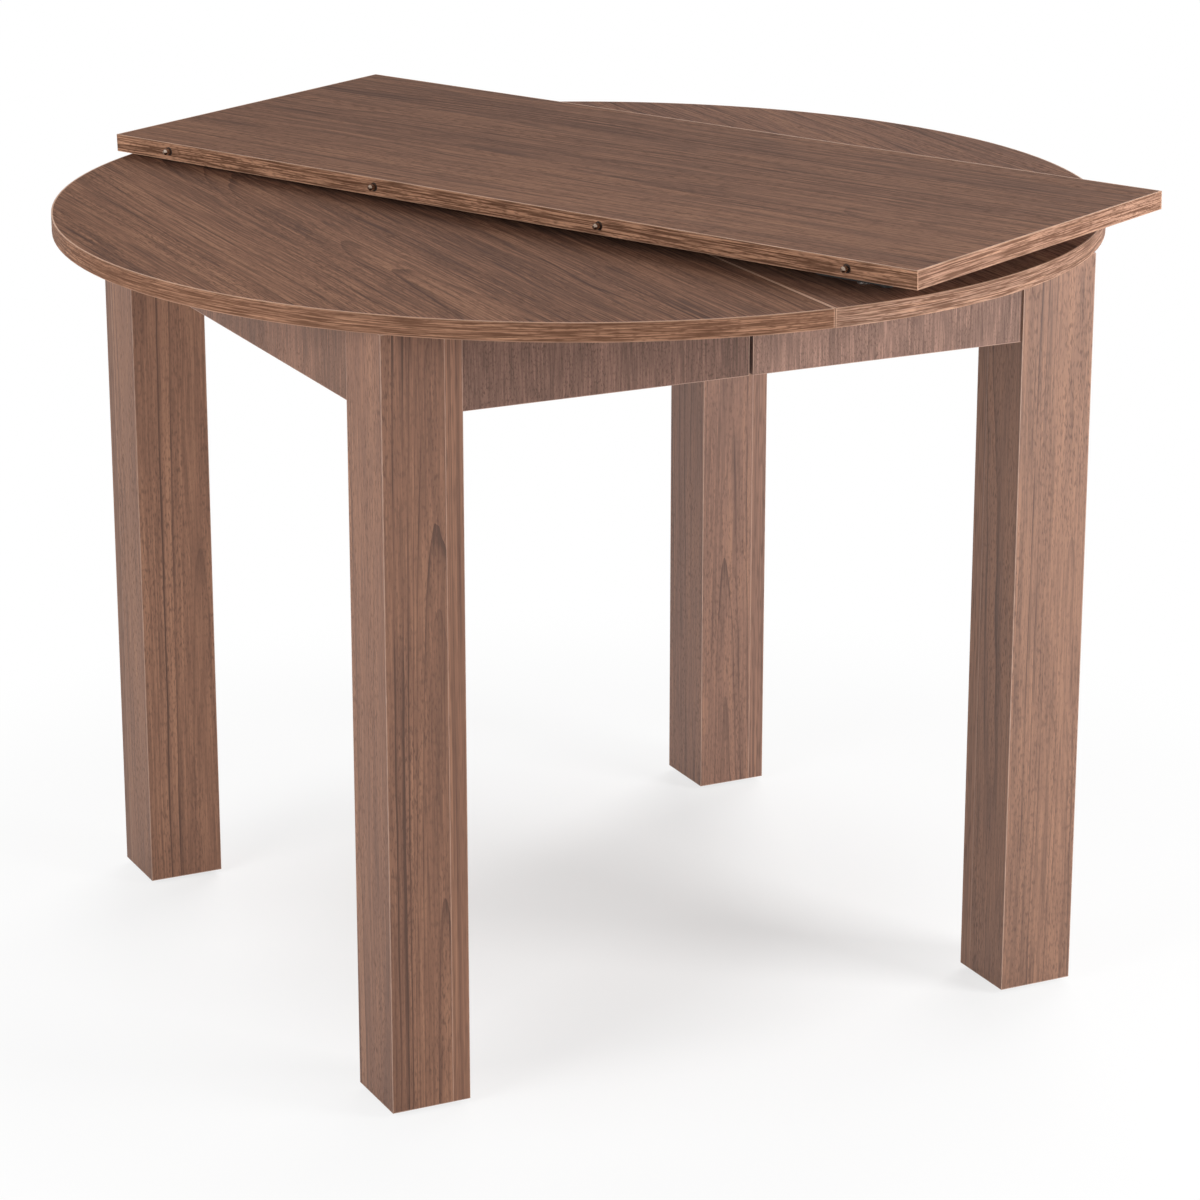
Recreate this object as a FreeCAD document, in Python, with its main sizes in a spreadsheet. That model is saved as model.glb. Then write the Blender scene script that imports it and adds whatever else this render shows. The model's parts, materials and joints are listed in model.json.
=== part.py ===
"""Round extending dining table: two half tops on four box legs, with a loose leaf lying on the closed top.

The table's centre on the floor is the origin. +X is the way the right half pulls out, -Y is the front and
+Z is up. The seam between the halves lies in the plane x = 0. The leaf is modelled squared up in its own
frame, with its underside at z = 0, and is then set down turned and tipped on the top.
"""
import FreeCAD, Part
import Sketcher
import math
import os
import re

from FreeCAD import Placement, Rotation, Vector

# Driving sizes in millimetres, and one angle in degrees
SIZES = {
    # Tops and leaf
    "table_height": 778,
    "top_diameter": 1050,
    "top_thickness": 18,
    "band_thickness": 1.5,
    "seam_gap": 0.5,
    "leaf_width": 395,
    # Where the leaf lies
    "leaf_centre_x": 51.7,
    "leaf_centre_y": 22,
    "leaf_turn_deg": 23.1,
    "seat_gap": 0.2,
    # Legs
    "leg_overhang_x": 150,
    "leg_overhang_y": 155,
    "leg_side": 80,
    "leg_wall": 16,
    "leg_face": 18,
    "leg_block_height": 130,
    "foot_block_height": 40,
    "glide_height": 5,
    "glide_top_diameter": 36,
    "glide_foot_diameter": 30,
    # Aprons and their fittings
    "apron_height": 80,
    "apron_thickness": 18,
    "apron_inset": 2,
    "apron_gap": 4,
    "cam_diameter": 15,
    "cam_depth": 13,
    "cam_setback": 34,
    "cam_spacing": 44,
    "cam_bolt_diameter": 7,
    "cam_bolt_grip": 11,
    "fit_gap": 0.05,
    "bracket_reach": 25,
    "bracket_width": 30,
    "bracket_thickness": 2,
    "bracket_seam_gap": 50,
    "bracket_leg_gap": 67,
    "bracket_end_gap": 142,
    # Runners
    "leaf_clearance": 20,
    "runner_leg_gap": 42,
    "channel_width": 40,
    "channel_height": 24,
    "channel_wall": 3,
    "channel_lip": 8,
    "channel_end_gap": 9,
    "channel_setback": 10,
    "slide_gap": 0.4,
    "bar_wall": 2.5,
    "stop_diameter": 6,
    "stop_setback": 18,
    # Seam pins
    "pin_rim_gap": 79.5,
    "pin_diameter": 6,
    "pin_out": 8,
    "pin_in": 22,
    "pin_nose": 2.5,
    "pin_tip_diameter": 3,
    "bush_diameter": 9,
    "bush_length": 12,
    "socket_diameter": 7,
    "socket_depth": 14,
    # Leaf locks and keepers
    "lock_apron_gap": 23,
    "lock_setback": 27.5,
    "lock_height": 11,
    "lock_plate": 1.5,
    "lock_length": 50,
    "lock_width": 34,
    "lock_corner": 6,
    "boss_diameter": 14,
    "lever_drop": 4.5,
    "lever_gap": 0.3,
    "lever_thickness": 3,
    "lever_width": 16,
    "lever_reach": 46,
    "lever_tail": 26,
    "knob_diameter": 12,
    "knob_height": 2,
    "peg_diameter": 7,
    "peg_gap": 0.5,
    "pivot_diameter": 6,
    "pivot_head_diameter": 14,
    "pivot_head_chamfer": 1.5,
    "keeper_plate": 1.5,
    "keeper_length": 44,
    "keeper_depth": 30,
    "keeper_setback": 4,
}

# Sizes that follow from the driving ones
DERIVED = {
    "top_radius": "top_diameter / 2",
    "core_radius": "top_radius - band_thickness",
    "underside": "table_height - top_thickness",
    "seam_edge": "seam_gap / 2",
    "seam_core": "seam_edge + band_thickness",
    "leaf_length": "top_diameter",
    "extension": "leaf_width + leaf_clearance",
    "pin_pitch": "2 * (top_radius - pin_rim_gap) / 3",
    "leg_span_x": "top_diameter - 2 * leg_overhang_x",
    "leg_span_y": "top_diameter - 2 * leg_overhang_y",
    "leg_length": "underside - glide_height",
    "leg_centre_x": "leg_span_x / 2 - leg_side / 2",
    "leg_centre_y": "leg_span_y / 2 - leg_side / 2",
    "leg_core": "leg_side - leg_wall - leg_face",
    "apron_bottom": "underside - apron_height",
    "end_apron_length": "leg_span_y - 2 * leg_side",
    "end_apron_outer": "leg_span_x / 2 - apron_inset",
    "end_apron_inner": "end_apron_outer - apron_thickness",
    "half_apron_length": "leg_span_x / 2 - leg_side - apron_gap / 2",
    "half_apron_outer": "leg_span_y / 2 - apron_inset",
    "half_apron_inner": "half_apron_outer - apron_thickness",
    "bracket_near_leg": "leg_span_x / 2 - leg_side - bracket_leg_gap",
    "bracket_on_end": "end_apron_length / 2 - bracket_end_gap",
    "cam_bolt_length": "cam_setback - cam_diameter / 2 + cam_bolt_grip",
    "runner_offset": "leg_span_y / 2 - leg_side - runner_leg_gap - channel_width / 2",
    "channel_length": "end_apron_inner - channel_setback - channel_end_gap",
    "bar_length": "2 * channel_length",
    "bar_width": "channel_width - 2 * channel_wall - 2 * slide_gap",
    "bar_top": "channel_wall + slide_gap",
    "bar_bottom": "channel_height - channel_wall - slide_gap",
    "stop_length": "channel_height - 2 * channel_wall",
    "slot_width": "stop_diameter + 2 * slide_gap",
    "slot_near": "bar_length / 2 - stop_setback",
    "slot_far": "slot_near - extension / 2",
    "pin_length": "pin_in + band_thickness + pin_out",
    "lock_offset": "half_apron_outer + lock_apron_gap + lever_reach + lever_width / 2",
    "lever_bottom": "lever_drop + lever_thickness",
    "head_top": "lever_bottom + lever_gap",
    "notch_centre": "lock_setback + seam_gap",
    "notch_outer": "lever_reach + peg_diameter / 2 + peg_gap",
    "notch_inner": "lever_reach - peg_diameter / 2 - peg_gap",
    "leaf_pivot_x": "leaf_width / 2 - lock_setback",
}

LEFT, RIGHT = -1, 1
FRONT, BACK = -1, 1
SIDE_NAMES = {LEFT: "left", RIGHT: "right"}
END_NAMES = {FRONT: "front", BACK: "back"}
UP = Vector(0, 0, 1)
ZERO = 1e-9

doc = FreeCAD.newDocument("extending_table")
sheet = doc.addObject("Spreadsheet::Sheet", "sizes")
for row, (word, number) in enumerate(SIZES.items(), start=1):
    sheet.set("A%d" % row, word)
    sheet.set("B%d" % row, str(number))
    sheet.setAlias("B%d" % row, word)
doc.recompute()

nodes = {}


# Rules: text such as "leg_side / 2", read against the sheet

def formula(rule):
    """The rule as an expression on the sheet's cells, with derived sizes opened up."""
    def cell(match):
        name = match.group(0)
        if name in SIZES:
            return "sizes." + name
        if name in DERIVED:
            return "(" + formula(DERIVED[name]) + ")"
        return name
    return re.sub(r"[a-z]\w*", cell, str(rule))


def value(rule):
    """The rule's present value."""
    return float(sheet.evalExpression(formula(rule)))


def spot(x, y, z=0):
    """A point given by three rules."""
    return Vector(value(x), value(y), value(z))


def signed(sign, rule):
    """The rule on one side of a middle plane."""
    return "%d * (%s)" % (sign, rule)


def bind(item, rules):
    """Tie an object's properties to rules."""
    for name, rule in rules.items():
        item.setExpression(name, formula(rule))


def keep(item, label, place=None):
    """Name a finished sub-part, set it in its place and list it for writing."""
    item.Label = label
    if place is not None:
        item.Placement = place
    nodes[label] = item
    return item


# Solids made from primitives

def block(name, size, middle, bottom):
    """A board of a given size, by the middle of its plan and its bottom."""
    item = doc.addObject("Part::Box", name)
    bind(item, {
        "Length": size[0],
        "Width": size[1],
        "Height": size[2],
        "Placement.Base.x": "%s - (%s) / 2" % (middle[0], size[0]),
        "Placement.Base.y": "%s - (%s) / 2" % (middle[1], size[1]),
        "Placement.Base.z": bottom,
    })
    return item


def disc(name, diameter, height, bottom="0", centre_x="0"):
    """An upright cylinder."""
    item = doc.addObject("Part::Cylinder", name)
    bind(item, {
        "Radius": "(%s) / 2" % diameter,
        "Height": height,
        "Placement.Base.x": centre_x,
        "Placement.Base.z": bottom,
    })
    return item


def rods(name, starts, direction, diameter, length):
    """Equal round rods, each from its start along one direction, as one group."""
    items = []
    for start in starts:
        rod = doc.addObject("Part::Cylinder", name + "_rod")
        bind(rod, {"Radius": "(%s) / 2" % diameter, "Height": length})
        rod.Placement = Placement(start, Rotation(UP, direction))
        items.append(rod)
    return group(name, items)


def group(name, items):
    """Several solids as one object."""
    item = doc.addObject("Part::Compound", name)
    item.Links = items
    return item


def cut(name, base, tool):
    """The base with the tool taken out of it."""
    item = doc.addObject("Part::Cut", name)
    item.Base = base
    item.Tool = tool
    return item


def common(name, base, tool):
    """What the base and the tool share."""
    item = doc.addObject("Part::Common", name)
    item.Base = base
    item.Tool = tool
    return item


# Bodies made from sketches

def new_body(name):
    return doc.addObject("PartDesign::Body", name)


def new_sketch(body, role):
    """A sketch on one of the body's own origin planes."""
    plane = next(item for item in body.Origin.OriginFeatures if item.Role == role)
    sketch = body.newObject("Sketcher::SketchObject", "sketch")
    sketch.AttachmentSupport = (plane, [""])
    sketch.MapMode = "FlatFace"
    return sketch


def tie(sketch, kind, geometry, rule):
    """Add a dimension to a sketch and bind it to a rule."""
    index = sketch.addConstraint(Sketcher.Constraint(kind, *geometry, value(rule)))
    sketch.setExpression("Constraints[%d]" % index, formula(rule))


def pin_down(sketch, curve, end, x, y):
    """Hold a point of a curve at two rules, measured from the sketch's origin."""
    for kind, rule, axis in (("DistanceX", x, -2), ("DistanceY", y, -1)):
        if abs(value(rule)) < ZERO:
            sketch.addConstraint(Sketcher.Constraint("PointOnObject", curve, end, axis))
        else:
            tie(sketch, kind, (-1, 1, curve, end), rule)


def outline(sketch, corners):
    """A closed outline of straight sides through corners given by rules."""
    points = [spot(x, y) for x, y in corners]
    first = sketch.GeometryCount
    count = len(points)
    for i in range(count):
        sketch.addGeometry(Part.LineSegment(points[i], points[(i + 1) % count]), False)
    for i in range(count):
        joint = ("Coincident", first + i, 2, first + (i + 1) % count, 1)
        sketch.addConstraint(Sketcher.Constraint(*joint))
        pin_down(sketch, first + i, 1, *corners[i])


def rectangle(sketch, low_x, low_y, high_x, high_y):
    outline(sketch, [(low_x, low_y), (high_x, low_y), (high_x, high_y), (low_x, high_y)])


def circle(sketch, x, y, diameter):
    """A full circle held by its centre and its radius."""
    radius = "(%s) / 2" % diameter
    index = sketch.addGeometry(Part.Circle(spot(x, y), UP, value(radius)), False)
    pin_down(sketch, index, 3, x, y)
    tie(sketch, "Radius", (index,), radius)


def stadium(sketch, low_x, high_x, width):
    """A slot outline along the sketch's own x axis, between the centres of its round ends."""
    radius = value("(%s) / 2" % width)
    quarter = math.pi / 2
    low = Part.Circle(spot(low_x, "0"), UP, radius)
    high = Part.Circle(spot(high_x, "0"), UP, radius)
    side = Vector(0, radius, 0)
    first = sketch.GeometryCount
    sketch.addGeometry(Part.ArcOfCircle(low, quarter, 3 * quarter), False)
    sketch.addGeometry(Part.LineSegment(low.Center - side, high.Center - side), False)
    sketch.addGeometry(Part.ArcOfCircle(high, -quarter, quarter), False)
    sketch.addGeometry(Part.LineSegment(high.Center + side, low.Center + side), False)
    for i in range(4):
        joint = ("Tangent", first + i, 2, first + (i + 1) % 4, 1)
        sketch.addConstraint(Sketcher.Constraint(*joint))
    pin_down(sketch, first, 3, low_x, "0")
    pin_down(sketch, first + 2, 3, high_x, "0")
    tie(sketch, "Radius", (first,), "(%s) / 2" % width)


def pad(body, sketch, length, backwards=False):
    item = body.newObject("PartDesign::Pad", "pad")
    item.Profile = sketch
    item.Reversed = backwards
    bind(item, {"Length": length})
    return item


def pocket(body, sketch, length=None, backwards=False):
    """Cut a sketch out of a body, to a depth or right through."""
    item = body.newObject("PartDesign::Pocket", "pocket")
    item.Profile = sketch
    item.Reversed = backwards
    if length is None:
        item.Type = "ThroughAll"
    else:
        bind(item, {"Length": length})
    return item


def revolve(body, sketch):
    """Turn a sketch round its own upright axis."""
    item = body.newObject("PartDesign::Revolution", "revolve")
    item.Profile = sketch
    item.ReferenceAxis = (sketch, ["V_Axis"])
    return item


def round_upright_edges(body, feature, radius):
    """Fillet the edges of a feature that run along z."""
    doc.recompute()
    names = []
    for number, edge in enumerate(feature.Shape.Edges, start=1):
        start, finish = edge.Vertexes[0].Point, edge.Vertexes[-1].Point
        if abs((finish - start).normalize().z) > 1 - ZERO:
            names.append("Edge%d" % number)
    item = body.newObject("PartDesign::Fillet", "fillet")
    item.Base = (feature, names)
    bind(item, {"Radius": radius})


# Places

def pin_spots(x):
    """The four seam pins' axes, at mid thickness, on the plane at x of a panel's own frame."""
    return [spot(x, "%s * pin_pitch / 2" % step, "top_thickness / 2") for step in (-3, -1, 1, 3)]


def half_place():
    """The frame of a half top: the table's centre, at the top's underside."""
    return Placement(spot("0", "0", "underside"), Rotation())


def leaf_place():
    """Where the leaf lies: on its two lock heads, tipped about the line through them.

    It tips until the corner of its left keeper rests on the top, which leaves its right edge standing high.
    """
    along = Vector(value("leaf_pivot_x"), value("lock_offset"), 0).normalize()
    corner_x = -value("leaf_width / 2 - keeper_setback")
    corner_y = value("lock_offset + keeper_length / 2")
    lever_arm = corner_y * along.x - corner_x * along.y
    drop = value("lock_height - keeper_plate")
    tip = math.degrees(math.asin(drop / lever_arm))
    height = value("table_height + lock_height + seat_gap")
    turn = Rotation(UP, value("leaf_turn_deg"))
    centre = Vector(value("leaf_centre_x"), value("leaf_centre_y"), height)
    return Placement(centre, turn.multiply(Rotation(along, -tip)))


def edge_place(panel, edge_x, facing, end):
    """The frame of a fitting on a seam edge: x points out of the edge, and z is the panel's own z."""
    turn = Rotation(UP, 0 if facing == RIGHT else 180)
    start = Vector(value(edge_x), end * value("lock_offset"), 0)
    return panel.multiply(Placement(start, turn))


def pivot_place(edge):
    """The frame of a lock's pivot, with x along a parked lever's arm, towards the middle of the edge."""
    start = Vector(-value("lock_setback"), 0, 0)
    return edge.multiply(Placement(start, Rotation(UP, -90)))


# Tops

def half_core(side):
    """The half round board, bored along the seam: pins on the right half, sockets on the left."""
    body = new_body("half_core")
    sketch = new_sketch(body, "XY_Plane")
    radius, edge = value("core_radius"), side * value("seam_core")
    swing = math.acos(edge / radius)
    if side == RIGHT:
        first, last = -swing, swing
    else:
        first, last = swing, 2 * math.pi - swing
    rim = Part.ArcOfCircle(Part.Circle(Vector(), UP, radius), first, last)
    sketch.addGeometry(rim, False)
    sketch.addGeometry(Part.LineSegment(rim.EndPoint, rim.StartPoint), False)
    sketch.addConstraint(Sketcher.Constraint("Coincident", 0, 3, -1, 1))
    sketch.addConstraint(Sketcher.Constraint("Coincident", 0, 2, 1, 1))
    sketch.addConstraint(Sketcher.Constraint("Coincident", 1, 2, 0, 1))
    sketch.addConstraint(Sketcher.Constraint("Vertical", 1))
    tie(sketch, "Radius", (0,), "core_radius")
    tie(sketch, "DistanceX", (-1, 1, 1, 1), signed(side, "seam_core"))
    pad(body, sketch, "top_thickness")
    if side == RIGHT:
        bores = [("bush_diameter + 2 * fit_gap", "bush_length - band_thickness"),
                 ("pin_diameter + 2 * fit_gap", "pin_in")]
    else:
        bores = [("socket_diameter", "socket_depth")]
    for diameter, depth in bores:
        drill = new_sketch(body, "YZ_Plane")
        for step in (-3, -1, 1, 3):
            circle(drill, "%s * pin_pitch / 2" % step, "top_thickness / 2", diameter)
        pocket(body, drill, "seam_core + " + depth, backwards=(side == RIGHT))
    return keep(body, SIDE_NAMES[side] + "_top", half_place())


def half_bands(side):
    """The edge bands of a half top: one round the rim, one along the seam with the pins' holes."""
    name = SIDE_NAMES[side]
    ring = cut("ring", disc("rim", "top_diameter", "top_thickness"),
               disc("rim_inside", "2 * core_radius", "top_thickness"))
    far = ("top_diameter", "2 * top_diameter", "top_thickness")
    half_space = block("half_space", far, (signed(side, "seam_edge + top_diameter / 2"), "0"), "0")
    strip = block("strip", ("band_thickness", "2 * top_diameter", "top_thickness"),
                  (signed(side, "seam_edge + band_thickness / 2"), "0"), "0")
    seam = common("seam", disc("seam_disc", "2 * core_radius", "top_thickness"), strip)
    hole = "bush_diameter + 2 * fit_gap" if side == RIGHT else "socket_diameter"
    holes = rods("holes", pin_spots("-seam_core"), Vector(1, 0, 0), hole, "2 * seam_core")
    bands = group("bands", [common("rim_band", ring, half_space), cut("seam_band", seam, holes)])
    return keep(bands, name + "_bands", half_place())


def seam_pin(edge_x):
    """One steel pin per place, nose out, set in the edge that faces -x."""
    pins = []
    for place in pin_spots("%s + band_thickness + pin_in" % edge_x):
        body = new_body("pin")
        sketch = new_sketch(body, "XZ_Plane")
        nose = "pin_length - pin_nose"
        outline(sketch, [("0", "0"), ("pin_diameter / 2", "0"), ("pin_diameter / 2", nose),
                         ("pin_tip_diameter / 2", "pin_length"), ("0", "pin_length")])
        revolve(body, sketch)
        body.Placement = Placement(place, Rotation(UP, Vector(-1, 0, 0)))
        pins.append(body)
    return group("pins", pins)


def seam_bushes(edge_x):
    """The plastic bush round each pin, flush with the edge."""
    starts = pin_spots(edge_x)
    along = Vector(1, 0, 0)
    outer = rods("bush_outer", starts, along, "bush_diameter", "bush_length")
    inner = rods("bush_inner", starts, along, "pin_diameter + 2 * fit_gap", "bush_length")
    return cut("bushes", outer, inner)


# Legs

def leg(side, end):
    """A hollow box leg: a board folded round three sides, a closing board, and a block at each end."""
    name = SIDE_NAMES[side] + "_" + END_NAMES[end] + "_leg"
    closes_along_x = side == end
    turn = Rotation(UP, 0 if closes_along_x else 90)
    foot = Vector(side * value("leg_centre_x"), end * value("leg_centre_y"), value("glide_height"))
    place = Placement(foot, turn)
    half, open_side = "leg_side / 2", "leg_side / 2 - leg_face"
    wall = "leg_side / 2 - leg_wall"
    shell = new_body("leg_shell")
    sketch = new_sketch(shell, "XY_Plane")
    outline(sketch, [("-leg_side / 2", "-leg_side / 2"), (open_side, "-leg_side / 2"),
                     (open_side, "-(%s)" % wall), ("-(%s)" % wall, "-(%s)" % wall),
                     ("-(%s)" % wall, wall), (open_side, wall), (open_side, half),
                     ("-leg_side / 2", half)])
    pad(shell, sketch, "leg_length")
    shell.Placement = place
    face = block("leg_face_board", ("leg_face", "leg_side", "leg_length"),
                 ("leg_side / 2 - leg_face / 2", "0"), "0")
    face_board = group("leg_face_set", [face])
    face_board.Placement = place
    bores = leg_bores(side, end)
    keep(cut("shell_cut", shell, bores), name + "_shell")
    keep(cut("face_cut", face_board, bores), name + "_face")
    core = ("leg_core", "leg_side - 2 * leg_wall")
    middle = ("leg_wall / 2 - leg_face / 2", "0")
    top_block = block("leg_top_block", (*core, "leg_block_height"), middle, "leg_length - leg_block_height")
    foot_block = block("leg_foot_block", (*core, "foot_block_height"), middle, "0")
    keep(group("leg_blocks", [top_block, foot_block]), name + "_blocks", place)


def glides(side):
    """The plastic glide under each leg of a half."""
    items = []
    for end in (FRONT, BACK):
        item = doc.addObject("Part::Cone", "glide")
        bind(item, {
            "Radius1": "glide_foot_diameter / 2",
            "Radius2": "glide_top_diameter / 2",
            "Height": "glide_height",
            "Placement.Base.x": signed(side, "leg_centre_x"),
            "Placement.Base.y": signed(end, "leg_centre_y"),
        })
        items.append(item)
    keep(group("glides", items), SIDE_NAMES[side] + "_glides")


# Aprons and their fittings

def cam_heights():
    """The heights of the two cams at an apron's end."""
    return ["apron_bottom + apron_height / 2 %s cam_spacing / 2" % sign for sign in "+-"]


def end_apron_cams(side, end):
    """Where an end apron's cams start on its inner face, and where their bolts start inside the leg."""
    inner = signed(side, "end_apron_inner")
    middle = signed(side, "end_apron_outer - apron_thickness / 2")
    cam_y = signed(end, "end_apron_length / 2 - cam_setback")
    bolt_y = signed(end, "end_apron_length / 2 + cam_bolt_grip")
    cams = [spot(inner, cam_y, height) for height in cam_heights()]
    bolts = [spot(middle, bolt_y, height) for height in cam_heights()]
    return cams, bolts


def half_apron_cams(side, end):
    """The same for a half apron, which has cams at its leg end only."""
    inner = signed(end, "half_apron_inner")
    middle = signed(end, "half_apron_outer - apron_thickness / 2")
    cam_x = signed(side, "leg_span_x / 2 - leg_side - cam_setback")
    bolt_x = signed(side, "leg_span_x / 2 - leg_side + cam_bolt_grip")
    cams = [spot(cam_x, inner, height) for height in cam_heights()]
    bolts = [spot(bolt_x, middle, height) for height in cam_heights()]
    return cams, bolts


def cam_rods(name, side, cam_wide, bolt_wide):
    """The cams and bolts of a half as two groups of rods, for the fittings or, wider, for their bores."""
    cams, bolts = [], []
    for end in (FRONT, BACK):
        cam_spots, bolt_spots = end_apron_cams(side, end)
        cams.append(rods(name, cam_spots, Vector(side, 0, 0), cam_wide, "cam_depth"))
        bolts.append(rods(name, bolt_spots, Vector(0, -end, 0), bolt_wide, "cam_bolt_length"))
        cam_spots, bolt_spots = half_apron_cams(side, end)
        cams.append(rods(name, cam_spots, Vector(0, end, 0), cam_wide, "cam_depth"))
        bolts.append(rods(name, bolt_spots, Vector(-side, 0, 0), bolt_wide, "cam_bolt_length"))
    return cams, bolts


def leg_bores(side, end):
    """The bores in a leg for the bolts of the two aprons that meet it."""
    wide = "cam_bolt_diameter + 2 * fit_gap"
    end_bolts = end_apron_cams(side, end)[1]
    half_bolts = half_apron_cams(side, end)[1]
    return group("leg_bores", [
        rods("end_bores", end_bolts, Vector(0, -end, 0), wide, "cam_bolt_grip"),
        rods("half_bores", half_bolts, Vector(-side, 0, 0), wide, "cam_bolt_grip"),
    ])


def aprons(side):
    """The end apron between a half's legs, and the two half aprons that stop short of the seam."""
    name = SIDE_NAMES[side]
    cams, bolts = cam_rods("bore", side, "cam_diameter + 2 * fit_gap", "cam_bolt_diameter + 2 * fit_gap")
    bores = group("apron_bores", cams + bolts)
    end_size = ("apron_thickness", "end_apron_length", "apron_height")
    end_middle = (signed(side, "end_apron_outer - apron_thickness / 2"), "0")
    keep(cut("end_apron", block("end_board", end_size, end_middle, "apron_bottom"), bores),
         name + "_end_apron")
    half_size = ("half_apron_length", "apron_thickness", "apron_height")
    for end in (FRONT, BACK):
        middle = (signed(side, "apron_gap / 2 + half_apron_length / 2"),
                  signed(end, "half_apron_outer - apron_thickness / 2"))
        keep(cut("half_apron", block("half_board", half_size, middle, "apron_bottom"), bores),
             "%s_%s_apron" % (name, END_NAMES[end]))
    cams, bolts = cam_rods("fitting", side, "cam_diameter", "cam_bolt_diameter")
    keep(cut("cam_bodies", group("cams", cams), group("cam_holes", bolts)), name + "_cams")
    keep(group("cam_bolts", bolts), name + "_cam_bolts")


def angle_bracket(place):
    """A steel angle: one flange under the top, one on the apron's inner face."""
    body = new_body("angle")
    sketch = new_sketch(body, "XZ_Plane")
    reach, thick = "bracket_reach", "bracket_thickness"
    outline(sketch, [("0", "0"), (reach, "0"), (reach, "-" + thick), (thick, "-" + thick),
                     (thick, "-" + reach), ("0", "-" + reach)])
    pad(body, sketch, "bracket_width")
    centred = Placement(spot("0", "bracket_width / 2"), Rotation())
    body.Placement = place.multiply(centred)
    return body


def angle_brackets(side):
    """Two angles on each apron of a half."""
    places = []
    for end in (FRONT, BACK):
        start = spot(signed(side, "end_apron_inner"), signed(end, "bracket_on_end"), "underside")
        places.append(Placement(start, Rotation(UP, 0 if side == LEFT else 180)))
        for distance in ("bracket_seam_gap", "bracket_near_leg"):
            start = spot(signed(side, distance), signed(end, "half_apron_inner"), "underside")
            places.append(Placement(start, Rotation(UP, -90 * end)))
    keep(group("angles", [angle_bracket(place) for place in places]), SIDE_NAMES[side] + "_angles")


# Runners

def channel(side, end):
    """A lipped channel, mouth down, screwed under one half; the bar slides in it."""
    body = new_body("channel")
    sketch = new_sketch(body, "YZ_Plane")
    half, inside = "channel_width / 2", "channel_width / 2 - channel_wall"
    mouth = "channel_width / 2 - channel_wall - channel_lip"
    floor, ledge = "-channel_height", "channel_wall - channel_height"
    right = [(half, "0"), (half, floor), (mouth, floor), (mouth, ledge), (inside, ledge),
             (inside, "-channel_wall")]
    left = [("-(%s)" % y, z) for y, z in reversed(right)]
    outline(sketch, right + left)
    pad(body, sketch, "channel_length", backwards=(side == LEFT))
    place = spot(signed(side, "channel_setback"), signed(end, "runner_offset"), "underside")
    keep(body, "%s_%s_channel" % (SIDE_NAMES[side], END_NAMES[end]), Placement(place, Rotation()))


def stop_pins(side):
    """The pin in each channel of a half that runs in the bar's slot and stops it."""
    starts = [spot(signed(side, "stop_setback"), signed(end, "runner_offset"), "underside - channel_wall")
              for end in (FRONT, BACK)]
    pins = rods("stops", starts, Vector(0, 0, -1), "stop_diameter", "stop_length")
    keep(pins, SIDE_NAMES[side] + "_stop_pins")


def runner_bar(end):
    """The tube that joins the two channels of a runner, with a stop slot for each half."""
    body = new_body("bar")
    sketch = new_sketch(body, "YZ_Plane")
    rectangle(sketch, "-bar_width / 2", "-(bar_bottom)", "bar_width / 2", "-(bar_top)")
    rectangle(sketch, "bar_wall - bar_width / 2", "bar_wall - bar_bottom",
              "bar_width / 2 - bar_wall", "-(bar_top) - bar_wall")
    pad(body, sketch, "bar_length")
    for low, high in (("slot_far", "slot_near"), ("bar_length - slot_near", "bar_length - slot_far")):
        slot = new_sketch(body, "XY_Plane")
        stadium(slot, low, high, "slot_width")
        pocket(body, slot)
    place = spot("-bar_length / 2", signed(end, "runner_offset"), "underside")
    keep(body, END_NAMES[end] + "_runner_bar", Placement(place, Rotation()))


# Leaf locks

def lock_base(edge):
    """The lock's plate under a panel, with the boss that carries the lever."""
    body = new_body("lock_base")
    plate = new_sketch(body, "XY_Plane")
    rectangle(plate, "-lock_length / 2", "-lock_width / 2", "lock_length / 2", "lock_width / 2")
    flat = pad(body, plate, "lock_plate", backwards=True)
    round_upright_edges(body, flat, "lock_corner")
    boss = new_sketch(body, "XY_Plane")
    circle(boss, "0", "0", "boss_diameter")
    pad(body, boss, "lever_drop - lever_gap", backwards=True)
    bore = new_sketch(body, "XY_Plane")
    circle(bore, "0", "0", "pivot_diameter + 2 * fit_gap")
    pocket(body, bore)
    body.Placement = pivot_place(edge)
    return body


def lock_pivot(edge):
    """The headed pivot that holds the lever to the base."""
    body = new_body("lock_pivot")
    sketch = new_sketch(body, "XZ_Plane")
    shank, head = "pivot_diameter / 2", "pivot_head_diameter / 2"
    outline(sketch, [("0", "0"), (shank, "0"), (shank, "-(head_top)"), (head, "-(head_top)"),
                     (head, "pivot_head_chamfer - lock_height"),
                     ("pivot_head_diameter / 2 - pivot_head_chamfer", "-lock_height"),
                     ("0", "-lock_height")])
    revolve(body, sketch)
    body.Placement = pivot_place(edge)
    return body


def lock_lever(edge, label):
    """The lever, parked along the edge: its peg swings across the seam into the keeper's notch."""
    body = new_body("lever")
    blade = new_sketch(body, "XY_Plane")
    stadium(blade, "-lever_tail", "lever_reach", "lever_width")
    pad(body, blade, "lever_thickness")
    peg = new_sketch(body, "XY_Plane")
    circle(peg, "lever_reach", "0", "peg_diameter")
    pad(body, peg, "lever_bottom - peg_gap")
    knob = new_sketch(body, "XY_Plane")
    circle(knob, "-lever_tail", "0", "knob_diameter")
    pad(body, knob, "knob_height", backwards=True)
    bore = new_sketch(body, "XY_Plane")
    circle(bore, "0", "0", "pivot_diameter + 2 * lever_gap")
    pocket(body, bore, "lever_thickness", backwards=True)
    lowered = Placement(spot("0", "0", "-(lever_bottom)"), Rotation())
    keep(body, label, pivot_place(edge).multiply(lowered))


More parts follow.
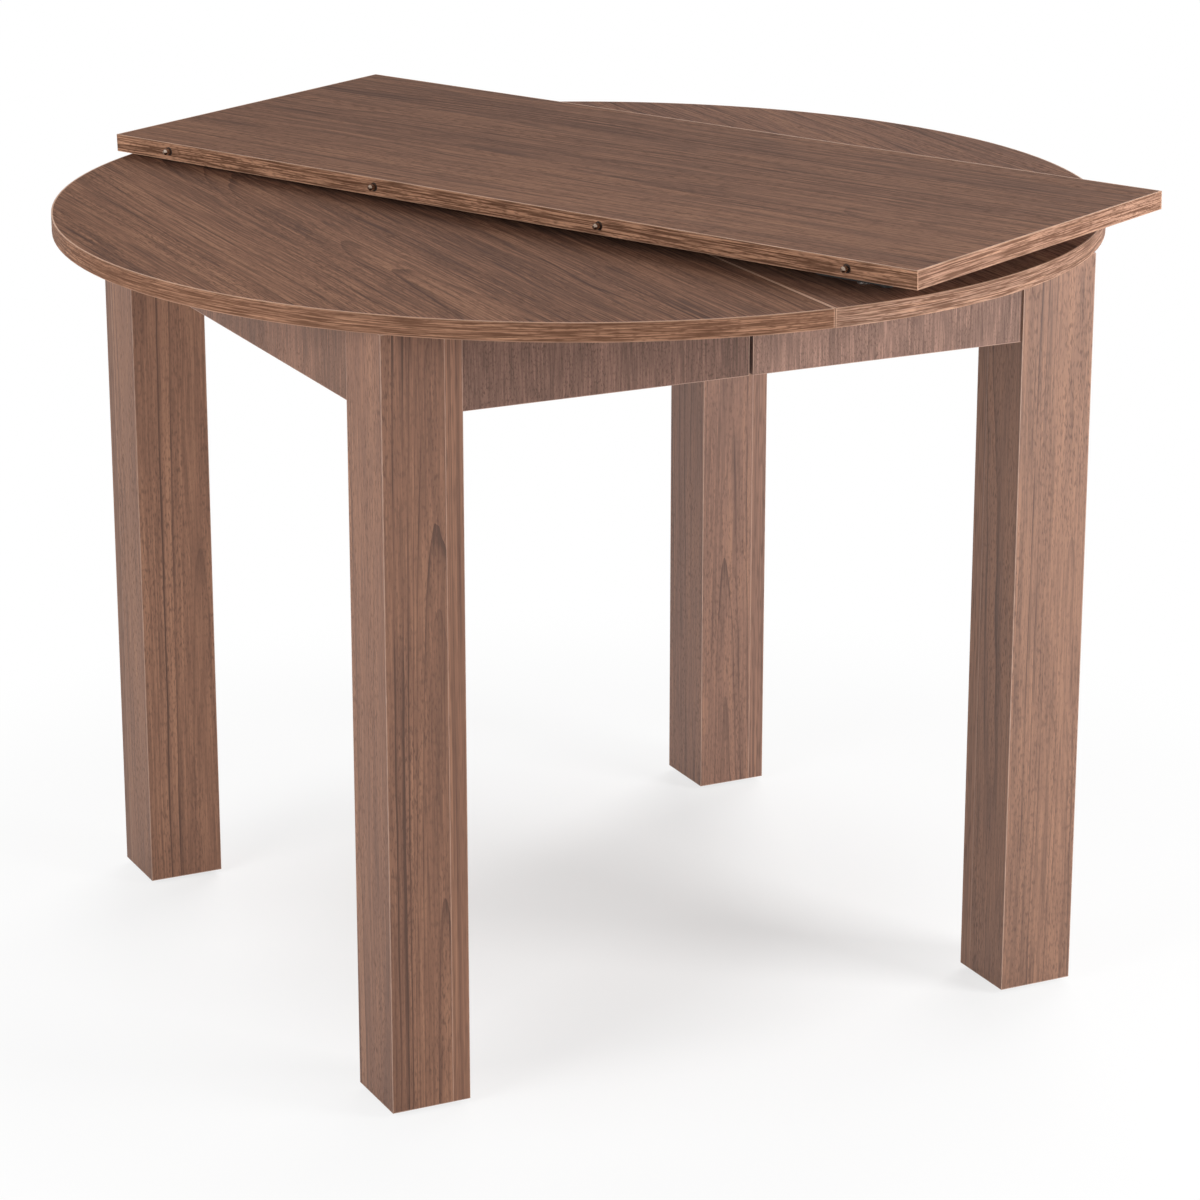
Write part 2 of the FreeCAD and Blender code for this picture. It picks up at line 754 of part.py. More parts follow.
def keeper(edge):
    """A plate with an arc notch about the facing lock's pivot, open towards the middle of the seam."""
    plate = block("keeper_plate", ("keeper_depth", "keeper_length", "keeper_plate"),
                  ("-keeper_setback - keeper_depth / 2", "0"), "-keeper_plate")
    level = ("keeper_plate", "-keeper_plate", "notch_centre")
    ring = cut("notch_ring", disc("notch_out", "2 * notch_outer", *level),
               disc("notch_in", "2 * notch_inner", *level))
    opening = ("2 * notch_outer", "keeper_length", "keeper_plate")
    middle = ("notch_centre - notch_outer", "keeper_length / 2 - peg_diameter / 2 - peg_gap")
    window = block("notch_window", opening, middle, "-keeper_plate")
    item = cut("keeper", plate, common("notch", ring, window))
    item.Placement = edge
    return item


def half_lock(side):
    """The fittings on a half's seam edge: the left half locks at the back, the right half at the front."""
    name = SIDE_NAMES[side]
    facing, edge_x = -side, signed(side, "seam_edge")
    lock = edge_place(half_place(), edge_x, facing, -side)
    mate = edge_place(half_place(), edge_x, facing, side)
    keep(lock_base(lock), name + "_lock_base")
    keep(lock_pivot(lock), name + "_lock_pivot")
    lock_lever(lock, name + "_lever")
    keep(keeper(mate), name + "_keeper")


# Leaf

def leaf_panel():
    """The leaf's board, with pin bores in its left edge and sockets in its right, and its edge bands."""
    across, along = "leaf_width - 2 * band_thickness", "leaf_length - 2 * band_thickness"
    board = block("leaf_board", (across, along, "top_thickness"), ("0", "0"), "0")
    left, right = "-leaf_width / 2", "leaf_width / 2"
    inward = Vector(1, 0, 0)
    pin_bore, bush_bore = "pin_diameter + 2 * fit_gap", "bush_diameter + 2 * fit_gap"
    bores = group("leaf_bores", [
        rods("bush_bores", pin_spots(left), inward, bush_bore, "bush_length"),
        rods("pin_bores", pin_spots(left), inward, pin_bore, "band_thickness + pin_in"),
        rods("sockets", pin_spots(right), -inward, "socket_diameter", "band_thickness + socket_depth"),
    ])
    keep(cut("leaf_core", board, bores), "leaf_panel", leaf_place())
    strip = ("band_thickness", "leaf_length", "top_thickness")
    long_bands = [block("long_band", strip, (signed(side, "leaf_width / 2 - band_thickness / 2"), "0"), "0")
                  for side in (LEFT, RIGHT)]
    keep(cut("long_bands", group("long_strips", long_bands), bores), "leaf_long_bands", leaf_place())
    strip = (across, "band_thickness", "top_thickness")
    end_bands = [block("end_band", strip, ("0", signed(end, "leaf_length / 2 - band_thickness / 2")), "0")
                 for end in (FRONT, BACK)]
    keep(group("end_bands", end_bands), "leaf_end_bands", leaf_place())


def leaf_fittings():
    """The leaf's pins, and a lock and a keeper on each long edge, so that it fits between the halves."""
    left = "-leaf_width / 2"
    keep(seam_pin(left), "leaf_pins", leaf_place())
    keep(seam_bushes(left), "leaf_bushes", leaf_place())
    bases, pivots, keepers = [], [], []
    for facing in (LEFT, RIGHT):
        edge_x = signed(facing, "leaf_width / 2")
        lock = edge_place(leaf_place(), edge_x, facing, facing)
        bases.append(lock_base(lock))
        pivots.append(lock_pivot(lock))
        keepers.append(keeper(edge_place(leaf_place(), edge_x, facing, -facing)))
        lock_lever(lock, "leaf_%s_lever" % END_NAMES[facing])
    keep(group("leaf_bases", bases), "leaf_lock_bases")
    keep(group("leaf_pivots", pivots), "leaf_lock_pivots")
    keep(group("leaf_keeper_set", keepers), "leaf_keepers")


# The whole table

def table():
    for side in (LEFT, RIGHT):
        half_core(side)
        half_bands(side)
        aprons(side)
        for end in (FRONT, BACK):
            leg(side, end)
            channel(side, end)
        glides(side)
        angle_brackets(side)
        stop_pins(side)
        half_lock(side)
    keep(seam_pin("seam_edge"), "right_pins", half_place())
    keep(seam_bushes("seam_edge"), "right_bushes", half_place())
    for end in (FRONT, BACK):
        runner_bar(end)
    leaf_panel()
    leaf_fittings()


def write():
    """Write every sub-part, once the whole document is sound."""
    for item in doc.Objects:
        if "Invalid" in item.State or "Error" in item.State:
            raise RuntimeError("%s (%s) failed: %s" % (item.Name, item.Label, item.State))
    for label, item in nodes.items():
        shape = item.Shape
        if shape.isNull() or not shape.isValid() or not shape.Solids:
            raise RuntimeError(label + " has no sound shape")
    os.makedirs("parts", exist_ok=True)
    for label, item in nodes.items():
        shape = item.Shape
        shape.exportStep("parts/%s.step" % label)
        print("%-28s %2d solids %12.1f mm3" % (label, len(shape.Solids), shape.Volume))


table()
doc.recompute()
write()
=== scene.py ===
# %% [markdown]
# # A round extending table in walnut laminate
#
# The table comes from its CAD model with every board, runner and lock in place. This lesson dresses
# it: walnut print on the boards, streaky edge bands, metals and plastics for the fittings, and the
# screws that hold them. A piece could be modelled again here, but the CAD solids already have the
# right shape. So most steps only give a solid a finish and a small bevel, and new meshes are made
# only for what the solids leave out.

# %% Load the frame
import json
import math

import bmesh
import bpy
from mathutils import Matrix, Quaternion, Vector


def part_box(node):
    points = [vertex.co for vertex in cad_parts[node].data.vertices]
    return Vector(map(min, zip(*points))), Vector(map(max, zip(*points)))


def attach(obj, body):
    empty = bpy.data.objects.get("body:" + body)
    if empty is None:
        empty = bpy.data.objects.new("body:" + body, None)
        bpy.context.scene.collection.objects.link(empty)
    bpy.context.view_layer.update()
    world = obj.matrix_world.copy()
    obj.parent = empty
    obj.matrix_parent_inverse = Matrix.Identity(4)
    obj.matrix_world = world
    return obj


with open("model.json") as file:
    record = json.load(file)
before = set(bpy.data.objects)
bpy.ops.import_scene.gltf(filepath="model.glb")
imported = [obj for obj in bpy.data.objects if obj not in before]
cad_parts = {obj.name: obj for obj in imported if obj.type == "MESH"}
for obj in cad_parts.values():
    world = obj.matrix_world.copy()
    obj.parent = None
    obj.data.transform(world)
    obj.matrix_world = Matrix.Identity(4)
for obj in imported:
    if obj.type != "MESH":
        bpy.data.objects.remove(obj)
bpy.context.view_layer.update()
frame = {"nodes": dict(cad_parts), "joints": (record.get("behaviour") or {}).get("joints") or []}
nodes = frame["nodes"]
joints = {joint["name"]: joint for joint in frame["joints"]}

# %% [markdown]
# ## The camera
#
# The picture was taken from the front left, looking down a little, with a long lens: the legs hardly
# lean. The camera could be placed by eye. Here its place, aim and focal length come from a fit of
# the rim, the leaf and the feet, so a piece that differs from the picture is a fault of the piece
# and not of the view.

# %% Camera
CAMERA_PLACE = Vector((-1.7179, -3.5557, 1.6140))
CAMERA_AIM = Vector((-0.04165, -0.13305, 0.39909))
SENSOR = 36.0
FOCAL_LENGTH = 120.15


def facing_along(direction):
    """The turn that points a camera or a lamp along a direction."""
    return Vector(direction).to_track_quat("-Z", "Y").to_euler()


lens = bpy.data.cameras.new("table_camera")
lens.sensor_width = SENSOR
lens.lens = FOCAL_LENGTH
camera = bpy.data.objects.new("table_camera", lens)
camera.location = CAMERA_PLACE
camera.rotation_euler = facing_along(CAMERA_AIM - CAMERA_PLACE)
bpy.context.scene.collection.objects.link(camera)
bpy.context.scene.camera = camera
print("camera is %.2f m from its aim" % (CAMERA_AIM - CAMERA_PLACE).length)

# %% [markdown]
# ## Short words for shader nodes
#
# A finish is a net of nodes. It could be wired by hand in the editor. In a script, a few helpers
# keep it readable: one places a node and wires its inputs, and the others write a step of
# arithmetic as one line.

# %% Placing nodes
def put(tree, kind, inputs=None, **settings):
    """Place a node. An input is a value, or the output of another node to link."""
    item = tree.nodes.new(kind)
    for name, value in settings.items():
        setattr(item, name, value)
    for key, value in (inputs or {}).items():
        if isinstance(value, bpy.types.NodeSocket):
            tree.links.new(value, item.inputs[key])
        else:
            item.inputs[key].default_value = value
    return item


def sum_up(tree, operation, *values):
    """One step of arithmetic on plain numbers."""
    return put(tree, "ShaderNodeMath", dict(enumerate(values)), operation=operation).outputs[0]


def vector_sum(tree, operation, *values):
    """One step of arithmetic on vectors."""
    item = put(tree, "ShaderNodeVectorMath", dict(enumerate(values)), operation=operation)
    return item.outputs["Value" if operation in ("DOT_PRODUCT", "LENGTH") else "Vector"]


def parts_of(tree, vector):
    """The X, Y and Z of a vector as three outputs."""
    return put(tree, "ShaderNodeSeparateXYZ", {"Vector": vector}).outputs


def vector_of(tree, **parts):
    """A vector made of the given X, Y and Z."""
    return put(tree, "ShaderNodeCombineXYZ", parts).outputs[0]


def own_place(tree):
    """Where a point is in its piece's own axes, which at rest are the table's."""
    return put(tree, "ShaderNodeTexCoord").outputs["Object"]


print("helpers to place nodes: put, sum_up, vector_sum, parts_of, vector_of, own_place")

# %% [markdown]
# ## Steps, mixes and noise
#
# Every finish here is noise that is stretched, cut to a range and used to mix colours. The editor
# has a node for each of these, with many settings. The helpers keep only those settings that this
# table needs.

# %% Steps, mixes and noise
def ramp(tree, value, low, high):
    """A straight ramp from 0 at low to 1 at high."""
    limits = {"Value": value, "From Min": low, "From Max": high}
    return put(tree, "ShaderNodeMapRange", limits).outputs["Result"]


def fade(tree, value, low, high, start=0.0, stop=1.0):
    """A smooth step: start below low, stop above high."""
    limits = {"Value": value, "From Min": low, "From Max": high, "To Min": start, "To Max": stop}
    return put(tree, "ShaderNodeMapRange", limits, interpolation_type="SMOOTHSTEP").outputs["Result"]


def blend_colours(tree, share, first, second):
    """Mix two colours by a share. The mix node's sockets for colours are picked by number."""
    return put(tree, "ShaderNodeMix", {0: share, 6: first, 7: second}, data_type="RGBA").outputs[2]


def cloud(tree, where, stretch, detail=2.0, rough=0.5):
    """Noise from 0 to 1, stretched to so many waves per metre on each axis."""
    scaled = vector_sum(tree, "MULTIPLY", where, stretch)
    noise = {"Vector": scaled, "Scale": 1.0, "Detail": detail, "Roughness": rough}
    return put(tree, "ShaderNodeTexNoise", noise).outputs["Fac"]


def about_zero(tree, value, size):
    """Noise from 0 to 1 turned into a push of either sign."""
    return sum_up(tree, "MULTIPLY", sum_up(tree, "SUBTRACT", value, 0.5), size)


def pushes(tree, where, layers):
    """Several clouds added up. A layer is the cloud's waves per metre and the size of its push."""
    total = 0.0
    for stretch, size in layers:
        total = sum_up(tree, "ADD", total, about_zero(tree, cloud(tree, where, stretch), size))
    return total


print("helpers for patterns: ramp, fade, blend_colours, cloud, about_zero, pushes")

# %% [markdown]
# ## Node groups
#
# An effect that several finishes share is built once, as a group with named sockets. It could be
# copied into every material, but then each change would have to be made many times. These helpers
# open a group, close it and use it.

# %% Group helpers
def new_group(name, inputs, outputs):
    """An empty shader group with named sockets, and the outputs of its input node."""
    tree = bpy.data.node_groups.new(name, "ShaderNodeTree")
    for word, kind, value in inputs:
        socket = tree.interface.new_socket(word, in_out="INPUT", socket_type="NodeSocket" + kind)
        if value is not None:
            socket.default_value = value
    for word, kind in outputs:
        tree.interface.new_socket(word, in_out="OUTPUT", socket_type="NodeSocket" + kind)
    return tree, tree.nodes.new("NodeGroupInput").outputs


def close_group(tree, **results):
    """Wire a group's results to its outputs."""
    put(tree, "NodeGroupOutput", results)
    print("group", tree.name, "has", len(tree.nodes), "nodes")


def use_group(tree, group, **inputs):
    """Place a group in a tree and return its outputs."""
    return put(tree, "ShaderNodeGroup", inputs, node_tree=group).outputs


print("helpers for groups: new_group, close_group, use_group")

# %% [markdown]
# ## Where on its board a point lies
#
# Grain follows the board and not the room: the leaf lies turned, the legs stand, the rim runs
# round. The boards could be unwrapped, but the print only needs three numbers: how far a point is
# across, along and through its board. One group works these out for straight boards.

# %% Frame of a straight board
board_frame, given = new_group(
    "board_frame", [("Middle", "Vector", None), ("Across", "Vector", None), ("Along", "Vector", None)],
    [("Place", "Vector")])
tree = board_frame
from_middle = vector_sum(tree, "SUBTRACT", own_place(tree), given["Middle"])
through = vector_sum(tree, "CROSS_PRODUCT", given["Across"], given["Along"])
close_group(tree, Place=vector_of(
    tree,
    X=vector_sum(tree, "DOT_PRODUCT", from_middle, given["Across"]),
    Y=vector_sum(tree, "DOT_PRODUCT", from_middle, given["Along"]),
    Z=vector_sum(tree, "DOT_PRODUCT", from_middle, through)))

# %% [markdown]
# ## Where on the rim a point lies
#
# The band round the rim is one long strip that was bent. Straight axes would cut through it, so a
# second group unrolls it: along means along the arc, across is up and down, and through is outward.
# The left half is measured from the other side, so that no jump in the angle falls on a band.

# %% Frame of the round rim
TOP_HEIGHT = 0.778
BOARD = 0.018
TOP_MIDDLE = TOP_HEIGHT - BOARD / 2
RIM_RADIUS = 0.525
rim_frame, given = new_group("rim_frame", [("Side", "Float", 1.0)], [("Place", "Vector")])
tree = rim_frame
here = parts_of(tree, own_place(tree))
angle = sum_up(tree, "ARCTAN2", here["Y"], sum_up(tree, "MULTIPLY", here["X"], given["Side"]))
radius = vector_sum(tree, "LENGTH", vector_of(tree, X=here["X"], Y=here["Y"]))
close_group(tree, Place=vector_of(
    tree,
    X=sum_up(tree, "SUBTRACT", here["Z"], TOP_MIDDLE),
    Y=sum_up(tree, "MULTIPLY", angle, RIM_RADIUS),
    Z=sum_up(tree, "SUBTRACT", radius, RIM_RADIUS)))

# %% [markdown]
# ## The walnut print
#
# The laminate is a print of real walnut: broad bands of grey brown and red brown, growth rings that
# run straight or open into arches, and short dark pores. A wave texture could stripe a surface, but
# it looks like corrugated card. Here the board is cut from a trunk. The rings are a function of the
# distance from a leaning, wobbling axis under the board, so straight grain and arches both come
# from the same few numbers.

# %% Sockets of the walnut print
SEED_STEP = (1.37, 3.91, 2.23)
walnut_print, given = new_group("walnut_print", [
    ("Place", "Vector", None),   # across, along and through the board, in metres
    ("Seed", "Float", 0.0),      # another stretch of the same timber
    ("Depth", "Float", 0.12),    # how far under the board the trunk's axis runs
    ("Beside", "Float", 0.0),    # how far beside the board's middle
    ("Lean", "Float", 0.03),     # how fast it comes up along the board
    ("Ring", "Float", 0.010),    # how wide a growth ring is
    ("Wobble", "Float", 1.0),    # how far the grain swings
    ("Lines", "Float", 1.0),     # how strongly growth rings show
    ("Streaks", "Float", 1.0),   # how strongly soft bands show
    ("Fine", "Float", 1.0),      # how strongly single fibres show
    ("Run", "Float", 1.0),       # below 1, fibres run on for longer
    ("Dark", "Color", (0.107, 0.057, 0.042, 1)),
    ("Middle", "Color", (0.252, 0.131, 0.087, 1)),
    ("Light", "Color", (0.400, 0.209, 0.130, 1)),
], [("Color", "Color"), ("Pores", "Float"), ("Fibre", "Float")])
tree = walnut_print
place = vector_sum(tree, "ADD", given["Place"], vector_sum(tree, "MULTIPLY", given["Seed"], SEED_STEP))
print("walnut print has", len(given) - 1, "inputs")

# %% [markdown]
# ## Growth rings
#
# A ring starts with pale early wood, darkens slowly, and ends sharply at its late wood. Evenly
# spaced rings look drawn with a ruler. So their spacing drifts from ring to ring, the trunk's axis
# bends at three sizes, and each ring has its own strength.

# %% Growth rings
BENDS = (((4, 0.9, 4), 0.085), ((17, 4, 17), 0.022), ((60, 15, 60), 0.005))
DRIFT_PACE, DRIFT_SIZE = 0.37, 3.0
DARKENING = 2.5
LATE_START, LATE_END, LATE_SHARE = 0.78, 0.94, 0.7
bends = sum_up(tree, "MULTIPLY", pushes(tree, place, BENDS), given["Wobble"])
here = parts_of(tree, given["Place"])
aside = sum_up(tree, "ADD", here["X"], given["Beside"])
axis_depth = sum_up(tree, "MULTIPLY_ADD", here["Y"], given["Lean"], given["Depth"])
depth = sum_up(tree, "ADD", here["Z"], axis_depth)
radius = vector_sum(tree, "LENGTH", vector_of(
    tree, X=sum_up(tree, "ADD", aside, bends), Y=sum_up(tree, "ADD", depth, bends)))
turns = sum_up(tree, "ADD", sum_up(tree, "DIVIDE", radius, given["Ring"]), given["Seed"])
pace = sum_up(tree, "MULTIPLY", turns, DRIFT_PACE)
drift = put(tree, "ShaderNodeTexNoise", {"W": pace, "Scale": 1.0, "Detail": 1.0}, noise_dimensions="1D")
turns = sum_up(tree, "ADD", turns, about_zero(tree, drift.outputs["Fac"], DRIFT_SIZE))
ring = sum_up(tree, "FLOOR", turns)
strength = put(tree, "ShaderNodeTexWhiteNoise", {"W": ring}, noise_dimensions="1D")
grown = sum_up(tree, "FRACT", turns)
late_edge = sum_up(tree, "MULTIPLY", ramp(tree, grown, LATE_START, LATE_END), LATE_SHARE)
late_wood = sum_up(tree, "ADD", sum_up(tree, "POWER", grown, DARKENING), late_edge)
print("rings take", len(tree.nodes), "nodes")

# %% [markdown]
# ## Bands, fibres and pores
#
# Over the rings lie soft bands of colour, single fibres and the pores, which show as short dark
# dashes. They could be dead straight, but real fibres wander, so their place is pushed sideways
# first. All of them add up to one tone, from dark over middle to light, and the pores are set in
# last.

# %% Bands, fibres and pores
WANDERS = (((5, 2.5, 5), 0.020), ((28, 8, 28), 0.004))
SOFT_BANDS = (((8, 0.7, 8), 1.1), ((45, 2.4, 45), 0.8), ((140, 5, 140), 0.5))
PATCHES, FIBRES, CROWDS, PORES = (14, 2.5, 14), (460, 10, 460), (55, 4, 55), (680, 150, 680)
EARLY_TONE, LINE_TONE, FIBRE_TONE, FULL_TONE = 0.35, 0.62, 1.9, 0.5
PORE_START, PORE_FULL, PORE_SHARE = 0.50, 0.70, 0.7
wander = sum_up(tree, "MULTIPLY", given["Wobble"], pushes(tree, place, WANDERS))
place = vector_sum(tree, "ADD", place, vector_of(tree, X=wander, Z=wander))
place = vector_sum(tree, "MULTIPLY", place, vector_of(tree, X=1.0, Y=given["Run"], Z=1.0))
patchy = fade(tree, cloud(tree, place, PATCHES), 0.34, 0.66, 0.15, 1.0)
shown = sum_up(tree, "MULTIPLY", strength.outputs["Value"], patchy)
lines = sum_up(tree, "MULTIPLY", sum_up(tree, "SUBTRACT", EARLY_TONE, late_wood), shown)
tone = sum_up(tree, "MULTIPLY", lines, sum_up(tree, "MULTIPLY", given["Lines"], LINE_TONE))
soft = sum_up(tree, "MULTIPLY", given["Streaks"], pushes(tree, place, SOFT_BANDS))
tone = sum_up(tree, "ADD", tone, soft)
fibre = cloud(tree, place, FIBRES, 2.0, 0.75)
fine = sum_up(tree, "MULTIPLY", about_zero(tree, fibre, FIBRE_TONE), given["Fine"])
tone = sum_up(tree, "ADD", tone, fine)
colour = blend_colours(tree, ramp(tree, tone, 0.0, FULL_TONE), given["Middle"], given["Light"])
colour = blend_colours(tree, ramp(tree, tone, 0.0, -FULL_TONE), colour, given["Dark"])
crowding = fade(tree, cloud(tree, place, CROWDS, 1.0), 0.35, 0.65, 0.45, 1.0)
dashes = ramp(tree, cloud(tree, place, PORES, 1.0), PORE_START, PORE_FULL)
pores = sum_up(tree, "MULTIPLY", dashes, crowding)
colour = blend_colours(tree, sum_up(tree, "MULTIPLY", pores, PORE_SHARE), colour, given["Dark"])
close_group(tree, Color=colour, Pores=pores, Fibre=fibre)

# %% [markdown]
# ## Painted highlights on the arrises
#
# Where a board turns a corner, light catches the arris as a thin pale line, and this highlight is
# painted into the colour. A shader can find edges by itself with the bevel node, but that only works in
# one renderer. The boards are plain boxes, so the group measures how far a point is from its box's
# faces: near two faces at once is near an edge. The line's width varies a little from place to place.

# %% Arris group
LINE_OUT, LINE_IN = 1.15, 0.75
arris_highlight, given = new_group(
    "arris_highlight", [("Place", "Vector", None), ("Half", "Vector", None), ("Width", "Float", 0.0009)],
    [("Line", "Float")])
tree = arris_highlight
gaps = parts_of(tree, vector_sum(
    tree, "SUBTRACT", given["Half"], vector_sum(tree, "ABSOLUTE", given["Place"])))
nearer = sum_up(tree, "MINIMUM", gaps["X"], gaps["Y"])
farther = sum_up(tree, "MAXIMUM", gaps["X"], gaps["Y"])
second = sum_up(tree, "MINIMUM", farther, sum_up(tree, "MAXIMUM", nearer, gaps["Z"]))
uneven = fade(tree, cloud(tree, given["Place"], (90, 90, 90), 2.0), 0.3, 0.7, 0.75, 1.25)
share = sum_up(tree, "DIVIDE", second, sum_up(tree, "MULTIPLY", given["Width"], uneven))
close_group(tree, Line=fade(tree, share, LINE_OUT, LINE_IN))

# %% [markdown]
# ## Materials and how they are put on
#
# A material is one principled shader and what feeds it. Values that are the same all over are set
# on the shader's own sockets, and only what changes over the surface is wired. A CAD solid has
# razor edges. Its mesh could be bevelled, but a bevel modifier leaves the mesh as it came.

# %% Shader and dressing helpers
SOFT_ANGLE = math.radians(40)
dressed = set()


def principled(name, **values):
    """A new material, its tree and its shader, with plain values set on the shader's own sockets."""
    material = bpy.data.materials.new(name)
    material.use_nodes = True
    shader = material.node_tree.nodes["Principled BSDF"]
    for word, value in values.items():
        shader.inputs[word.replace("_", " ")].default_value = value
    return material, material.node_tree, shader


def feed(tree, shader, colour, rough, height, dip):
    """Wire what changes over the surface into a shader. The height is a bump, dip metres deep."""
    bump = put(tree, "ShaderNodeBump", {"Height": height, "Distance": dip, "Strength": 1.0})
    tree.links.new(colour, shader.inputs["Base Color"])
    tree.links.new(rough, shader.inputs["Roughness"])
    tree.links.new(bump.outputs["Normal"], shader.inputs["Normal"])


def dress(name, material, bevel=0.0):
    """Give a CAD node its material, and soften its edges where a bevel is asked for."""
    item = nodes[name]
    dressed.add(name)
    item.data.materials.clear()
    item.data.materials.append(material)
    if bevel:
        soft = item.modifiers.new("soft_edges", "BEVEL")
        soft.width = bevel
        soft.segments = 2
        soft.limit_method = "ANGLE"
        soft.angle_limit = SOFT_ANGLE
        soft.use_clamp_overlap = True


print("helpers for materials: principled, feed, dress")

# %% [markdown]
# ## Boards of walnut laminate
#
# Each board gets its own material, because each was cut from another stretch of the print and has
# its own size. A shared material would repeat the same streaks on every leg. The groups give the
# colour, a little roughness in the fibres, and pores that dip. A gloss is two numbers: how strongly
# the surface mirrors, and how smooth it is at best.

# %% Board material
X, Y, Z = (1, 0, 0), (0, 1, 0), (0, 0, 1)
WALNUT = (0.252, 0.131, 0.087, 1)
# the pale line along the arrises is a painted highlight
ARRIS_HIGHLIGHT, ARRIS_HIGHLIGHT_SHARE = (0.48, 0.31, 0.235, 1), 0.75
SATIN, SOFT_GLOSS, MATT = (0.20, 0.42), (0.35, 0.42), (0.01, 0.60)
FIBRE_ROUGH, PORE_ROUGH = 0.16, 0.12
FIBRE_RISE, PORE_DIP = 0.7, 0.00012


def walnut_board(name, lies, seed, gloss, arris=None, **cut):
    """Laminate on a board that lies at (middle, across, along). An arris is (half size, line width)."""
    middle, across, along = lies
    level, smoothest = gloss
    material, tree, shader = principled(name, Specular_IOR_Level=level)
    place = use_group(tree, board_frame, Middle=middle, Across=across, Along=along)["Place"]
    figure = use_group(tree, walnut_print, Place=place, Seed=seed, **cut)
    colour = figure["Color"]
    # paint a highlight along the arrises
    if arris:
        edge = use_group(tree, arris_highlight, Place=place, Half=arris[0], Width=arris[1])["Line"]
        colour = blend_colours(tree, sum_up(tree, "MULTIPLY", edge, ARRIS_HIGHLIGHT_SHARE), colour, ARRIS_HIGHLIGHT)
    rough = sum_up(tree, "MULTIPLY_ADD", figure["Fibre"], FIBRE_ROUGH, smoothest)
    rough = sum_up(tree, "MULTIPLY_ADD", figure["Pores"], PORE_ROUGH, rough)
    raised = sum_up(tree, "MULTIPLY", figure["Fibre"], FIBRE_RISE)
    height = sum_up(tree, "MULTIPLY_ADD", figure["Pores"], -1.0, raised)
    feed(tree, shader, colour, rough, height, PORE_DIP)
    return material


print("a board rises by at most %.2f mm in its print" % (1000 * PORE_DIP * FIBRE_RISE))

# %% [markdown]
# ## The half tops
#
# The top is two half rounds with the grain along the seam. They could share one print, but on the real
# table each half is its own board, so the figure breaks at the seam. The right half is tinted a little
# lighter and the left half a little darker: painted light and shade, for the brighter light on the
# right end. The round edge has a band of its own, so the boards show only their faces and need no
# painted highlight on the arris.

# %% Half tops
# the tints are painted light and shade: lighter on the right half, darker on the left
HALVES = {"left": (3.0, 0.28, (0.244, 0.123, 0.079, 1)),
          "right": (11.0, -0.20, (0.266, 0.138, 0.094, 1))}
for side, (seed, beside, painted_light_tint) in HALVES.items():
    finish = walnut_board(side + "_top_walnut", ((0, 0, TOP_MIDDLE), X, Y), seed, MATT, Middle=painted_light_tint,
                          Depth=0.05, Beside=beside, Lean=0.075, Ring=0.011,
                          Wobble=0.8, Lines=0.75, Streaks=0.6, Fine=1.2, Run=0.6)
    dress(side + "_top", finish)
print(len(HALVES), "half tops dressed")

# %% [markdown]
# ## The leaf
#
# The leaf lies turned and tipped on the top. Its frame could be measured from the picture again,
# but the model already holds it: the axis of the leaf's lock levers is its normal, and its middle
# lies halfway between them.

# %% Leaf frame and board
LEAF_TURN = math.radians(23.1)
LEAF_WIDTH = 0.395
front_lock, back_lock = joints["leaf_front_lock_turn"], joints["leaf_back_lock_turn"]
leaf_up = Vector(front_lock["axis"]).normalized()
leaf_foot = (Vector(front_lock["pos_m"]) + Vector(back_lock["pos_m"])) / 2
leaf_turn = Vector(Z).rotation_difference(leaf_up) @ Quaternion(Z, LEAF_TURN)
leaf_across, leaf_along = leaf_turn @ Vector(X), leaf_turn @ Vector(Y)
leaf_middle = leaf_foot + leaf_up * BOARD / 2
finish = walnut_board("leaf_walnut", (leaf_middle, leaf_across, leaf_along), 21.0, MATT,
                      Depth=0.06, Beside=0.05, Lean=0.05, Ring=0.011,
                      Wobble=0.7, Lines=0.9, Streaks=0.7, Fine=1.1, Run=0.6)
dress("leaf_panel", finish)
print("leaf tips by %.2f degrees" % math.degrees(leaf_up.angle(Vector(Z))))

# %% [markdown]
# ## Edge bands
#
# The edges are closed with a plastic band that is printed like the boards and combed with fine grooves
# along its length. The print alone would look flat, so the comb dips the grooves and paints them
# darker: partly the band's streaky print and partly painted shade in the grooves. Where the band was
# cut flush with the faces, its pale core shows as a line round the top, and a little of it on the
# scraped arris and at the ends. These places are found by which way the surface faces and how far it is
# from the band's middle.

# %% Band material
BAND_LIGHT, BAND_DARK_AND_GROOVE_SHADE = (0.600, 0.330, 0.205, 1), (0.125, 0.058, 0.034, 1)
BAND_CORE = (0.68, 0.42, 0.29, 1)
BAND_GLOSS = 0.04
COMB, COMB_SHADE_SHARE, COMB_DIP = (980, 22, 980), 0.85, 0.00025
RIDGE, GROOVE = 0.58, 0.42
SCRAPE_START, SCRAPE_END = BOARD / 2 - 0.0010, BOARD / 2 - 0.0004
SEAM_OUT, SEAM_IN = 0.0019, 0.0015
ASKEW, SQUARE = 0.45, 0.85
CUT_SHARE, END_SHARE, SCRAPE_SHARE = 0.9, 0.35, 0.35


